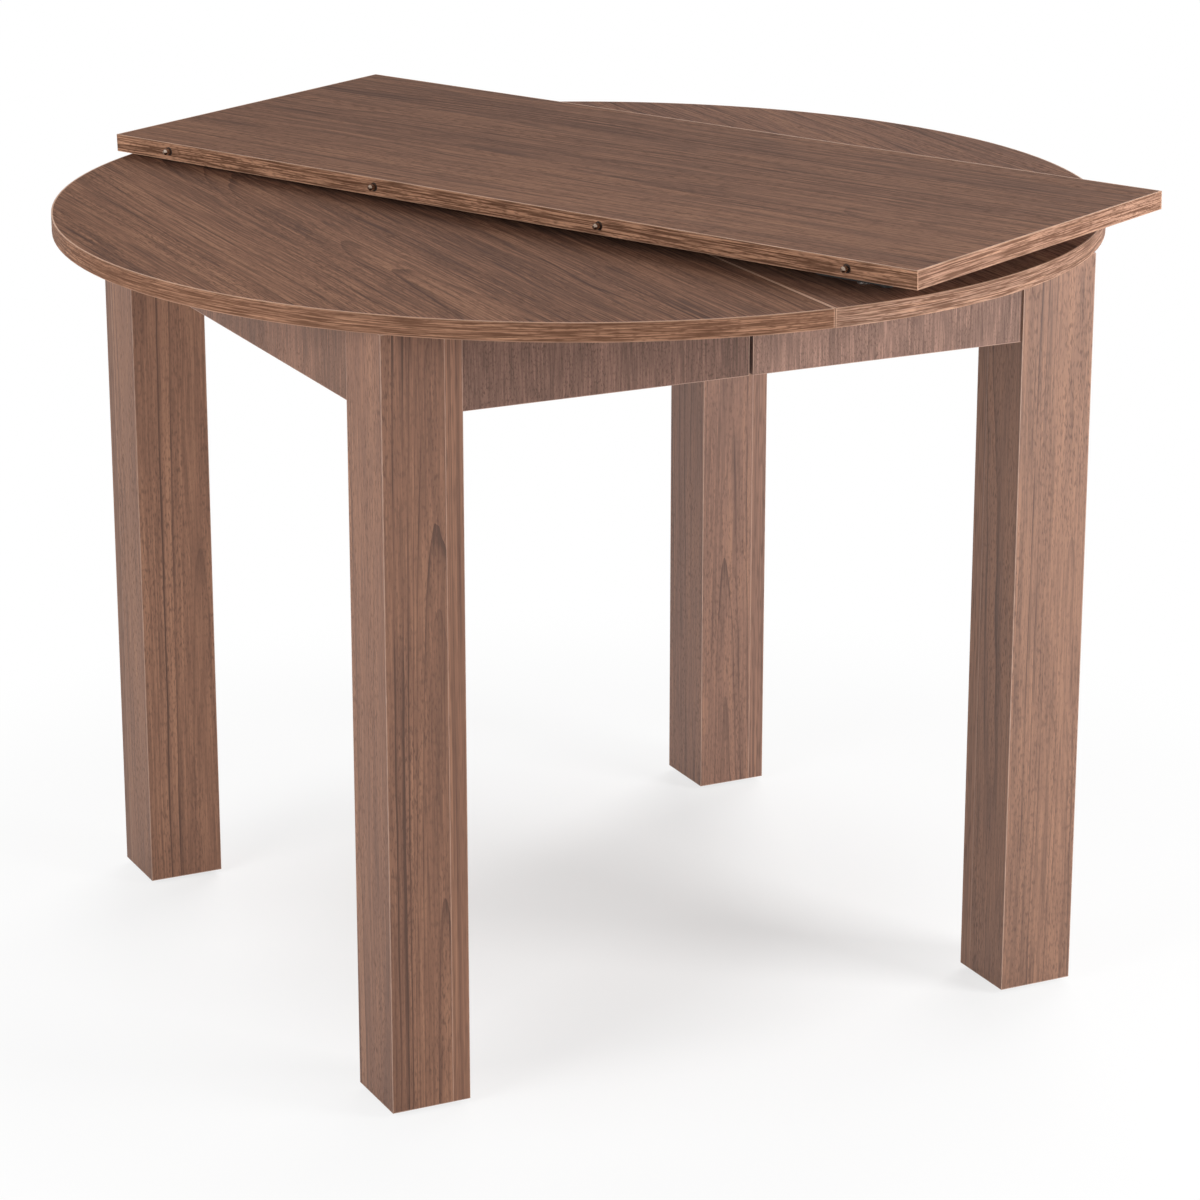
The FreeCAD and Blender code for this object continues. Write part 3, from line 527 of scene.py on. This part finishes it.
def walnut_band(name, seed, painted_light_tint, up, middle=None, along=None, side=1.0):
    """A combed edge band: straight if it has a middle and a direction, and otherwise round the rim."""
    material, tree, shader = principled(name, Specular_IOR_Level=BAND_GLOSS)
    normal = put(tree, "ShaderNodeNewGeometry").outputs["Normal"]
    level = sum_up(tree, "ABSOLUTE", vector_sum(tree, "DOT_PRODUCT", normal, up))
    if along is None:
        place = use_group(tree, rim_frame, Side=side)["Place"]
        from_seam = sum_up(tree, "ABSOLUTE", parts_of(tree, own_place(tree))["X"])
        end = fade(tree, from_seam, SEAM_OUT, SEAM_IN)
    else:
        place = use_group(tree, board_frame, Middle=middle, Across=up, Along=along)["Place"]
        end = sum_up(tree, "ABSOLUTE", vector_sum(tree, "DOT_PRODUCT", normal, along))
    figure = use_group(tree, walnut_print, Place=place, Seed=seed,
                       Light=BAND_LIGHT, Middle=painted_light_tint, Dark=BAND_DARK_AND_GROOVE_SHADE,
                       Depth=0.0, Beside=0.06, Lean=0.002, Ring=0.0022,
                       Wobble=0.10, Lines=0.6, Streaks=0.3, Fine=0.8, Run=0.8)
    combed = cloud(tree, place, COMB, 1.0)
    # the grooves are painted darker: partly the band's streaky print, partly painted shade in the
    # grooves
    grooves = sum_up(tree, "MULTIPLY", ramp(tree, combed, RIDGE, GROOVE), COMB_SHADE_SHARE)
    shaded = blend_colours(tree, grooves, figure["Color"], BAND_DARK_AND_GROOVE_SHADE)
    from_middle = sum_up(tree, "ABSOLUTE", parts_of(tree, place)["X"])
    scraped = fade(tree, from_middle, SCRAPE_START, SCRAPE_END, 0.0, SCRAPE_SHARE)
    cut = sum_up(tree, "MAXIMUM", fade(tree, level, ASKEW, SQUARE, 0.0, CUT_SHARE),
                 fade(tree, end, ASKEW, SQUARE, 0.0, END_SHARE))
    colour = blend_colours(tree, sum_up(tree, "MAXIMUM", scraped, cut), shaded, BAND_CORE)
    feed(tree, shader, colour, sum_up(tree, "MULTIPLY_ADD", combed, 0.25, 0.45), combed, COMB_DIP)
    return material


print("comb has %d grooves in a band %d mm high" % (COMB[0] * BOARD, 1000 * BOARD))

# %% [markdown]
# ## Bands on the halves and the leaf
#
# A band runs round the rim and along the seam of each half, and the leaf has four straight ones.
# They could share one material, but each strip has its own stretch of print and its own tint. The tints
# are painted light and shade: the left rim is darker for the dimmer light on its front, and the right
# rim and the leaf's bands are lighter, the leaf's long band most of all, as it stands in shade.

# %% Bands
RIM_BEVEL, LEAF_BEVEL = 0.0004, 0.0005
# tints with painted light and shade: darker on the left rim, lighter on the right rim and on the leaf's
# bands
RIM_LEFT_PAINTED_SHADE, RIM_RIGHT_PAINTED_LIGHT = (0.33, 0.170, 0.106, 1), (0.44, 0.265, 0.190, 1)
LEAF_SIDE_PAINTED_LIGHT, LEAF_END_PAINTED_LIGHT = (0.64, 0.345, 0.215, 1), (0.46, 0.265, 0.185, 1)
left_rim = walnut_band("left_rim_band", 5.0, RIM_LEFT_PAINTED_SHADE, Z, side=-1.0)
right_rim = walnut_band("right_rim_band", 8.0, RIM_RIGHT_PAINTED_LIGHT, Z, side=1.0)
leaf_side = walnut_band("leaf_long_band", 14.0, LEAF_SIDE_PAINTED_LIGHT, leaf_up, leaf_middle, leaf_along)
leaf_end = walnut_band("leaf_end_band", 17.0, LEAF_END_PAINTED_LIGHT, leaf_up, leaf_middle, leaf_across)
dress("left_bands", left_rim, RIM_BEVEL)
dress("right_bands", right_rim, RIM_BEVEL)
dress("leaf_long_bands", leaf_side, LEAF_BEVEL)
dress("leaf_end_bands", leaf_end, LEAF_BEVEL)
print("bands dressed on the rim, the seam and the leaf")

# %% [markdown]
# ## Legs
#
# A leg is a laminated board folded round three sides, and a closing board slid in on the fourth.
# One print round all four sides would hide that. So the folded board has lively figure, and the closing
# board a straight, fine grain. Both stand upright, so the grain runs along z. The folded board has its
# painted highlight lines at the corners of the whole leg, and the closing board round its own edges.

# %% Leg materials
LEG_BEVEL, FOLD_LINE, CLOSING_LINE = 0.0006, 0.0008, 0.0007
# the right legs' tints are lighter than the left legs': painted light, for the brighter light at the
# right end
LEG_BOARDS = {"left_front_leg": (31.0, -0.012, (0.240, 0.121, 0.079, 1), SATIN),
              "left_back_leg": (37.0, -0.025, (0.236, 0.120, 0.078, 1), SATIN),
              "right_front_leg": (43.0, -0.022, (0.278, 0.146, 0.095, 1), SOFT_GLOSS),
              "right_back_leg": (52.0, 0.010, (0.258, 0.137, 0.096, 1), SOFT_GLOSS)}


def middle_and_half(*names):
    """The middle and half the size of the box round one or more nodes."""
    corners = [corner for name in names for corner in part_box(name)]
    low, high = Vector(map(min, *corners)), Vector(map(max, *corners))
    return (low + high) / 2, (high - low) / 2


for name, (seed, beside, painted_light_tint, gloss) in LEG_BOARDS.items():
    middle, half = middle_and_half(name + "_shell", name + "_face")
    lively = walnut_board(name + "_walnut", (middle, X, Z), seed, gloss,
                          (half.xzy, FOLD_LINE), Middle=painted_light_tint,
                          Depth=-0.020, Beside=beside, Lean=0.020, Ring=0.0062,
                          Wobble=0.30, Lines=1.1, Streaks=0.6, Fine=0.6)
    middle, half = middle_and_half(name + "_face")
    straight = walnut_board(name + "_closing_walnut", (middle, X, Z), seed + 3, gloss,
                            (half.xzy, CLOSING_LINE), Middle=painted_light_tint,
                            Depth=0.30, Beside=0.30, Lean=0.004, Ring=0.0040,
                            Wobble=0.05, Lines=0.6, Streaks=0.4, Fine=0.8, Run=0.25)
    dress(name + "_shell", lively, LEG_BEVEL)
    dress(name + "_face", straight, LEG_BEVEL)
print(len(LEG_BOARDS), "legs dressed")

# %% [markdown]
# ## Aprons
#
# The aprons tie the legs under the top. Their grain stands upright, as on the legs: the boards were cut
# across a wide sheet. One material could cover all of them, but the painted highlight on the arrises
# needs each board's own box. The boards also differ in tint, which is painted light and shade: the
# right front board is lighter, and the left front and left end boards darker, where the light on them
# is brighter or dimmer. Their light and dark tones follow the tint, so that a dark board stays as even
# as a light one.

# %% Apron materials
APRON_BEVEL, APRON_LINE = 0.0005, 0.0006
LIGHTER, DARKER = 1.7, 0.5
# tints with painted light and shade: lighter on the right front board, darker on the left front and
# left end boards
APRON_BOARDS = {"left_front_apron": (61.0, (0.165, 0.090, 0.066, 1)),
                "left_back_apron": (62.7, WALNUT),
                "left_end_apron": (64.1, (0.218, 0.113, 0.075, 1)),
                "right_front_apron": (67.0, (0.240, 0.140, 0.106, 1)),
                "right_back_apron": (68.7, WALNUT),
                "right_end_apron": (70.1, WALNUT)}
for name, (seed, painted_light_tint) in APRON_BOARDS.items():
    middle, half = middle_and_half(name)
    across, size = (X, half.xzy) if half.x > half.y else (Y, half.yzx)
    light, dark = [[scale * part for part in painted_light_tint[:3]] + [1.0] for scale in (LIGHTER, DARKER)]
    finish = walnut_board(name + "_walnut", (middle, across, Z), seed, SATIN, (size, APRON_LINE),
                          Dark=dark, Middle=painted_light_tint, Light=light,
                          Depth=0.10, Beside=0.10, Lean=0.03, Ring=0.010,
                          Wobble=0.40, Lines=0.2, Streaks=0.6, Fine=0.9, Run=2.0)
    dress(name, finish, APRON_BEVEL)
print(len(APRON_BOARDS), "aprons dressed")

# %% [markdown]
# ## Marks on metal
#
# No metal here is a clean mirror. Turned pins have fine marks, plated steel has a faint cloudy
# film, and drawn runners have lines along their length. Each could have a net of its own, but all
# of these are streaks in some direction with a film over them. So one group gives both, and each
# metal uses it with its own values.

# %% Metal group
NEAR_BLACK = (0.05, 0.05, 0.05, 1)
LINE_SHARE, LINE_DARK = 0.35, 0.6
metal_marks, given = new_group("metal_marks", [
    ("Stretch", "Vector", (300, 300, 300)), ("Base", "Color", (0.6, 0.6, 0.6, 1)),
    ("Film", "Color", (0.5, 0.5, 0.45, 1)), ("Smooth", "Float", 0.22), ("Rough", "Float", 0.40),
], [("Color", "Color"), ("Roughness", "Float"), ("Height", "Float")])
tree = metal_marks
place = own_place(tree)
lines = cloud(tree, place, given["Stretch"], 3.0)
film = cloud(tree, place, (55, 55, 55), 3.0)
filmed = blend_colours(tree, fade(tree, film, 0.35, 0.70), given["Base"], given["Film"])
darker = blend_colours(tree, LINE_DARK, given["Base"], NEAR_BLACK)
marked = sum_up(tree, "MULTIPLY", fade(tree, lines, 0.55, 0.30), LINE_SHARE)
mixed = sum_up(tree, "ADD", sum_up(tree, "MULTIPLY", lines, 0.5), sum_up(tree, "MULTIPLY", film, 0.5))
spread = sum_up(tree, "SUBTRACT", given["Rough"], given["Smooth"])
close_group(tree, Color=blend_colours(tree, marked, filmed, darker), Height=lines,
            Roughness=sum_up(tree, "MULTIPLY_ADD", mixed, spread, given["Smooth"]))

# %% [markdown]
# ## Metals of the fittings
#
# The seam pins are burnished dark, and the pivots, stop pins and bolts are bright. Angles are zinc
# plated, cams are cast, and runners are drawn aluminium. Locks and keepers have a black coat, which
# hides most of the metal, so it is only partly metallic. A table of name endings hands out the
# finishes, because each kind of fitting has one.

# %% Metal finishes
PLATE_BEVEL = 0.0003
TURNED, CAST, COATED = (900, 900, 900), (1400, 1400, 1400), (500, 500, 500)
PLATED, DRAWN = (260, 900, 260), (6, 1300, 1300)


def metal(name, stretch, base, film, smooth, rough, dip, metallic=1.0):
    """A metal with marks. Smooth and rough are its limits of roughness, and dip is the marks' depth."""
    material, tree, shader = principled(name, Metallic=metallic)
    marks = use_group(tree, metal_marks, Stretch=stretch, Base=base + (1,), Film=film + (1,),
                      Smooth=smooth, Rough=rough)
    feed(tree, shader, marks["Color"], marks["Roughness"], marks["Height"], dip)
    return material


# marks, colour of the metal and of its film, least and most roughness, depth of the marks
bright_steel = metal("bright_steel", TURNED, (0.62, 0.60, 0.58), (0.50, 0.47, 0.44),
                     0.18, 0.36, 0.00002)
burnished_steel = metal("burnished_steel", TURNED, (0.48, 0.38, 0.31), (0.28, 0.20, 0.15),
                        0.18, 0.34, 0.00002)
zinc_plate = metal("zinc_plate", PLATED, (0.60, 0.61, 0.61), (0.52, 0.51, 0.44),
                   0.24, 0.46, 0.00003)
cast_zinc = metal("cast_zinc", CAST, (0.46, 0.46, 0.45), (0.38, 0.38, 0.37),
                  0.38, 0.60, 0.00006)
drawn_aluminium = metal("drawn_aluminium", DRAWN, (0.72, 0.72, 0.73), (0.64, 0.64, 0.64),
                        0.24, 0.44, 0.00003)
black_steel = metal("black_steel", COATED, (0.040, 0.038, 0.037), (0.028, 0.027, 0.026),
                    0.38, 0.60, 0.00004, metallic=0.35)
FITTINGS = [(("right_pins", "leaf_pins"), burnished_steel, 0.0),
            (("_stop_pins", "_pivot", "_pivots", "_cam_bolts"), bright_steel, 0.0),
            (("_lock_base", "_lock_bases", "_keeper", "_keepers", "_lever"), black_steel, PLATE_BEVEL),
            (("_angles",), zinc_plate, PLATE_BEVEL),
            (("_cams",), cast_zinc, 0.0),
            (("_channel", "_bar"), drawn_aluminium, PLATE_BEVEL)]
for endings, finish, bevel in FITTINGS:
    fittings = [name for name in nodes if name.endswith(endings)]
    for name in fittings:
        dress(name, finish, bevel)
    print(finish.name, "is on", len(fittings), "nodes")

# %% [markdown]
# ## Plastics
#
# Glides and bushes are moulded. A plain dark colour would look like a hole in the picture, so a
# group adds the fine etched grain of a mould, which scatters the light, and pale places where the
# plastic is rubbed.

# %% Plastic finishes
MOULDED_GLOSS, ETCH_DIP = 0.25, 0.00004
GLIDE_BEVEL = 0.0004
RUBBED = (0.14, 0.13, 0.12, 1)
moulded_grain, given = new_group("moulded_grain", [("Base", "Color", (0.03, 0.03, 0.03, 1))],
                                 [("Color", "Color"), ("Roughness", "Float"), ("Height", "Float")])
tree = moulded_grain
place = own_place(tree)
etched = cloud(tree, place, (1600, 1600, 1600), 2.0)
rubbed = fade(tree, cloud(tree, place, (70, 70, 70), 3.0), 0.5, 0.8, 0.0, 0.6)
lifted = blend_colours(tree, 0.5, given["Base"], RUBBED)
close_group(tree, Color=blend_colours(tree, rubbed, given["Base"], lifted),
            Roughness=sum_up(tree, "MULTIPLY_ADD", etched, 0.3, 0.35), Height=etched)


def moulded(name, base):
    """A moulded plastic in one colour."""
    material, tree, shader = principled(name, Specular_IOR_Level=MOULDED_GLOSS)
    grain = use_group(tree, moulded_grain, Base=base)
    feed(tree, shader, grain["Color"], grain["Roughness"], grain["Height"], ETCH_DIP)
    return material


black_glide = moulded("black_glide", (0.022, 0.022, 0.022, 1))
brown_bush = moulded("brown_bush", (0.050, 0.030, 0.022, 1))
for name in nodes:
    if name.endswith("_glides"):
        dress(name, black_glide, GLIDE_BEVEL)
    elif name.endswith("_bushes"):
        dress(name, brown_bush)
print("glides and bushes dressed")

# %% [markdown]
# ## Raw timber
#
# The blocks in the legs are sawn softwood, pale with wide rings. A new print could be drawn for it,
# but it grows as walnut does, so it uses the same trunk with other colours, and a rough sawn
# surface.

# %% Softwood blocks
PINE_DARK, PINE_LIGHT = (0.40, 0.25, 0.12, 1), (0.70, 0.54, 0.34, 1)
PINE_MIDDLE = (0.60, 0.43, 0.25, 1)
BLOCK_BEVEL, SAWN_DIP = 0.0005, 0.0003


def softwood(name, middle, seed):
    """Sawn softwood with its grain upright."""
    material, tree, shader = principled(name)
    place = use_group(tree, board_frame, Middle=middle, Across=X, Along=Z)["Place"]
    figure = use_group(tree, walnut_print, Place=place, Seed=seed, Dark=PINE_DARK, Middle=PINE_MIDDLE,
                       Light=PINE_LIGHT, Depth=0.03, Lean=0.02, Ring=0.006, Wobble=0.3)
    rough = sum_up(tree, "MULTIPLY_ADD", figure["Fibre"], 0.2, 0.6)
    feed(tree, shader, figure["Color"], rough, figure["Fibre"], SAWN_DIP)
    return material


for name in nodes:
    if name.endswith("_leg_blocks"):
        dress(name, softwood(name + "_pine", middle_and_half(name)[0], len(name)), BLOCK_BEVEL)
print("nodes without a finish:", sorted(set(nodes) - dressed))

# %% [markdown]
# ## Screws
#
# Every bracket, plate and keeper is screwed on. Modelled threads would never be seen, so only the
# heads are made: a turned dome with a cross recess. One head is drawn by turning a profile, its
# recess is pressed into the rings near the middle, and copies are set on the plates, all heads of a
# plate's body in one mesh.

# %% One screw head
HEAD_STEPS = 32
SHOULDER = [(1.0, 0.0), (1.0, 0.18), (0.94, 0.42), (0.84, 0.62)]
DOME = [(share, 1.0 - 0.5 * share ** 2) for share in (0.72, 0.64, 0.56, 0.46, 0.36, 0.26, 0.17, 0.08)]
CROSS_REACH, CROSS_WIDTH, CROSS_DEPTH = 0.62, 0.15, 0.55
LOWEST, CENTRE = 0.08, 0.30


def recess(x, y):
    """How deep the cross is at a place on the head, as a share of the head's rise."""
    far, near = max(abs(x), abs(y)), min(abs(x), abs(y))
    if far < CROSS_REACH and near < CROSS_WIDTH:
        return CROSS_DEPTH * (1 - far / CROSS_REACH * 0.5)
    return 0.0


def screw_head(mesh, place, axis, radius, rise, spin):
    """Add one domed head to a mesh, standing on a face whose outward direction is axis."""
    turn = Vector(Z).rotation_difference(Vector(axis)) @ Quaternion(Z, spin)
    rings = []
    for share, up in SHOULDER + DOME:
        ring = []
        for step in range(HEAD_STEPS):
            angle = 2 * math.pi * step / HEAD_STEPS
            x, y = share * math.cos(angle), share * math.sin(angle)
            local = Vector((x * radius, y * radius, max(up - recess(x, y), LOWEST) * rise))
            ring.append(mesh.verts.new(Vector(place) + turn @ local))
        rings.append(ring)
    tip = mesh.verts.new(Vector(place) + turn @ Vector((0, 0, CENTRE * rise)))
    for outer, inner in zip(rings, rings[1:]):
        for step in range(HEAD_STEPS):
            after = (step + 1) % HEAD_STEPS
            mesh.faces.new((outer[step], outer[after], inner[after], inner[step]))
    for step in range(HEAD_STEPS):
        mesh.faces.new((rings[-1][step], rings[-1][(step + 1) % HEAD_STEPS], tip))
    mesh.faces.new(list(reversed(rings[0])))


print("a head has", HEAD_STEPS * len(SHOULDER + DOME) + 1, "points")

# %% [markdown]
# ## Sets of screws
#
# A screw could be an object of its own, but then the table would have dozens of tiny pieces. So all
# heads that one body carries in one place are a single mesh that rides on that body. The edges of
# the recess stay crisp, because a modifier splits the smooth shading there.

# %% Sets of screws
BIG_SCREW, SMALL_SCREW = (0.0034, 0.0016), (0.0023, 0.0011)
SPIN = 0.7
CRISP_ANGLE = math.radians(45)


def screw_set(name, body, spots, size):
    """One mesh with a head at every (place, axis), riding a body. A size is a radius and a rise."""
    mesh = bmesh.new()
    for index, (place, axis) in enumerate(spots):
        screw_head(mesh, place, axis, *size, SPIN * index)
    data = bpy.data.meshes.new(name)
    mesh.to_mesh(data)
    mesh.free()
    for face in data.polygons:
        face.use_smooth = True
    data.materials.append(zinc_plate)
    item = bpy.data.objects.new(name, data)
    bpy.context.scene.collection.objects.link(item)
    crisp = item.modifiers.new("crisp_edges", "EDGE_SPLIT")
    crisp.split_angle = CRISP_ANGLE
    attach(item, body)
    print(name, "has", len(spots), "heads")


print("heads are %.1f and %.1f mm across" % (2000 * BIG_SCREW[0], 2000 * SMALL_SCREW[0]))

# %% [markdown]
# ## Screws on the brackets
#
# Each steel angle has a flange under the top and a flange on its apron. Two screws sit side by side
# on each flange. They could be placed by eye, but the places follow from the brackets' own sizes,
# so the heads sit on the steel.

# %% Bracket screws
UNDERSIDE = TOP_HEIGHT - BOARD
FLANGE, THICK, WIDTH = 0.025, 0.002, 0.030
OUT, APART = 0.6, 0.28
ON_END, NEAR_SEAM, NEAR_LEG = 0.148, 0.050, 0.228
end_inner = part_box("right_end_apron")[0].x
long_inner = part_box("right_back_apron")[0].y
for side, sign in (("left", -1), ("right", 1)):
    brackets = [((sign * end_inner, end * ON_END), (-sign, 0), (0, 1)) for end in (-1, 1)]
    brackets += [((sign * far, end * long_inner), (0, -end), (1, 0)) for end in (-1, 1)
                 for far in (NEAR_SEAM, NEAR_LEG)]
    spots = []
    for foot, inward, beside in brackets:
        inward, beside = Vector((*inward, 0)), Vector((*beside, 0))
        for step in (-APART, APART):
            base = Vector((*foot, UNDERSIDE)) + beside * step * WIDTH
            spots.append((base + inward * OUT * FLANGE - Vector(Z) * THICK, (0, 0, -1)))
            spots.append((base + inward * THICK - Vector(Z) * OUT * FLANGE, inward))
    screw_set(side + "_bracket_screws", side + "_half", spots, BIG_SCREW)

# %% [markdown]
# ## Screws on the locks and keepers
#
# A lock plate has a screw at each end, beside the lever's sweep, and a keeper has one on each side
# of its notch. Halves and leaf have the same fittings, so one function walks along a seam edge and
# lists the places, in the frame of whichever panel carries them.

# %% Lock screws
LOCK_SET, LOCK_BACK = 0.445, 0.0275
PLATE, LOCK_END = 0.0015, 0.019
KEEPER_IN, KEEPER_SIDE = 0.0075, 0.0175
SEAM = 0.00025


def edge_spots(foot, turn, edge, facing, lock_end):
    """Screw places on one seam edge: the lock at one end of it, the keeper at the other."""
    down = turn @ Vector((0, 0, -1))
    flat = [(edge - facing * LOCK_BACK, lock_end * LOCK_SET + step)
            for step in (-LOCK_END, LOCK_END)]
    flat += [(edge - facing * KEEPER_IN, -lock_end * LOCK_SET + step)
             for step in (-KEEPER_SIDE, KEEPER_SIDE)]
    return [(foot + turn @ Vector((x, y, -PLATE)), down) for x, y in flat]


half_foot, level = Vector((0, 0, UNDERSIDE)), Quaternion()
screw_set("left_lock_screws", "left_half", edge_spots(half_foot, level, -SEAM, 1, 1), SMALL_SCREW)
screw_set("right_lock_screws", "right_half", edge_spots(half_foot, level, SEAM, -1, -1), SMALL_SCREW)
leaf_spots = edge_spots(leaf_foot, leaf_turn, -LEAF_WIDTH / 2, -1, -1)
leaf_spots += edge_spots(leaf_foot, leaf_turn, LEAF_WIDTH / 2, 1, 1)
screw_set("leaf_lock_screws", "leaf", leaf_spots, SMALL_SCREW)

# %% [markdown]
# ## The floor
#
# The picture is a studio cut-out: white all round, with a soft grey shadow under the table. More
# light would bleach the wood, so the white is put into the floor for camera rays and reflections
# only. The floor is part plain diffuse, which carries the shadow, and part white. The white share
# grows from the middle outward.

# %% Floor
FLOOR = 14.0
WHITE, PALE = (1, 1, 1, 1), (0.93, 0.93, 0.93, 1)
# two rises of the white share: the distances where each begins and ends, and its values there
UNDER_TABLE, BEYOND_TABLE = (0.10, 0.60, 0.31, 0.87), (0.60, 1.10, 0.0, 0.13)


def seen_directly(tree):
    """1 for rays from the camera, a mirror or glass, and 0 for the light that falls on the object."""
    rays = put(tree, "ShaderNodeLightPath").outputs
    straight = sum_up(tree, "MAXIMUM", rays["Is Camera Ray"], rays["Is Glossy Ray"])
    return sum_up(tree, "MAXIMUM", straight, rays["Is Transmission Ray"])


pale_floor, tree, shader = principled("pale_floor", Base_Color=PALE, Roughness=0.9,
                                      Specular_IOR_Level=0.0)
white = put(tree, "ShaderNodeEmission", {"Color": WHITE, "Strength": 1.0})
away = vector_sum(tree, "LENGTH", own_place(tree))
white_share = sum_up(tree, "ADD", fade(tree, away, *UNDER_TABLE), fade(tree, away, *BEYOND_TABLE))
share = sum_up(tree, "MULTIPLY", white_share, seen_directly(tree))
mixed = put(tree, "ShaderNodeMixShader", {0: share, 1: shader.outputs[0], 2: white.outputs[0]})
tree.links.new(mixed.outputs[0], tree.nodes["Material Output"].inputs["Surface"])
data = bpy.data.meshes.new("floor")
corners = [(x * FLOOR, y * FLOOR, 0) for x, y in ((-1, -1), (1, -1), (1, 1), (-1, 1))]
data.from_pydata(corners, [], [(0, 1, 2, 3)])
data.materials.append(pale_floor)
floor = bpy.data.objects.new("floor", data)
bpy.context.scene.collection.objects.link(floor)
print("floor is %d m wide" % (2 * FLOOR))

# %% [markdown]
# ## The world
#
# The backdrop is as white as the floor. A white world would also light the table from all round and
# wash out its shadows, so it is white only where it is seen, and dim for the light that falls on
# the table. The standard view transform shows each colour as it is written.

# %% World
AMBIENT = 0.13
world = bpy.data.worlds.new("studio")
bpy.context.scene.world = world
world.use_nodes = True
tree = world.node_tree
sky = tree.nodes["Background"]
sky.inputs["Color"].default_value = WHITE
tree.links.new(fade(tree, seen_directly(tree), 0.0, 1.0, AMBIENT, 1.0), sky.inputs["Strength"])
bpy.context.scene.view_settings.view_transform = "Standard"
print("world lights the table at", AMBIENT)

# %% [markdown]
# ## Lamps
#
# In the picture the right end is brighter than the left, the outer sides of the left legs catch a
# second light, and the leaf throws a broad soft shadow towards the viewer. One lamp overhead would
# give none of this. So a large soft lamp stands at the front right, a weaker one at the left, both
# a little above the top, and a dim one hangs overhead. The shadow comes from a low broad light far
# behind on the right, for which a sun with a wide angle stands in.

# %% Lamps
BACK_DIRECTION, BACK_POWER, BACK_SPREAD = (-0.60, -0.64, -0.48), 2.2, math.radians(45)


def hang(data, place, direction):
    """Put a lamp in its place and point it."""
    lamp = bpy.data.objects.new(data.name, data)
    lamp.location = place
    lamp.rotation_euler = facing_along(direction)
    bpy.context.scene.collection.objects.link(lamp)
    print(data.name, "gives", data.energy)


def soft_lamp(name, place, aim, size, power):
    """A rectangular lamp that points at a place on the table."""
    data = bpy.data.lights.new(name, "AREA")
    data.shape = "RECTANGLE"
    data.size, data.size_y = size
    data.energy = power
    hang(data, place, Vector(aim) - Vector(place))


soft_lamp("right_lamp", (1.6, -1.9, 0.95), (0.3, -0.3, 0.45), (1.0, 1.2), 49)
soft_lamp("left_lamp", (-2.2, -0.7, 1.15), (-0.35, -0.1, 0.35), (1.2, 1.2), 27)
soft_lamp("top_lamp", (0.3, 0.6, 3.0), (0.0, 0.0, 0.7), (3.0, 3.0), 5)
back_light = bpy.data.lights.new("back_light", "SUN")
back_light.energy = BACK_POWER
back_light.angle = BACK_SPREAD
hang(back_light, (0, 0, 0), BACK_DIRECTION)
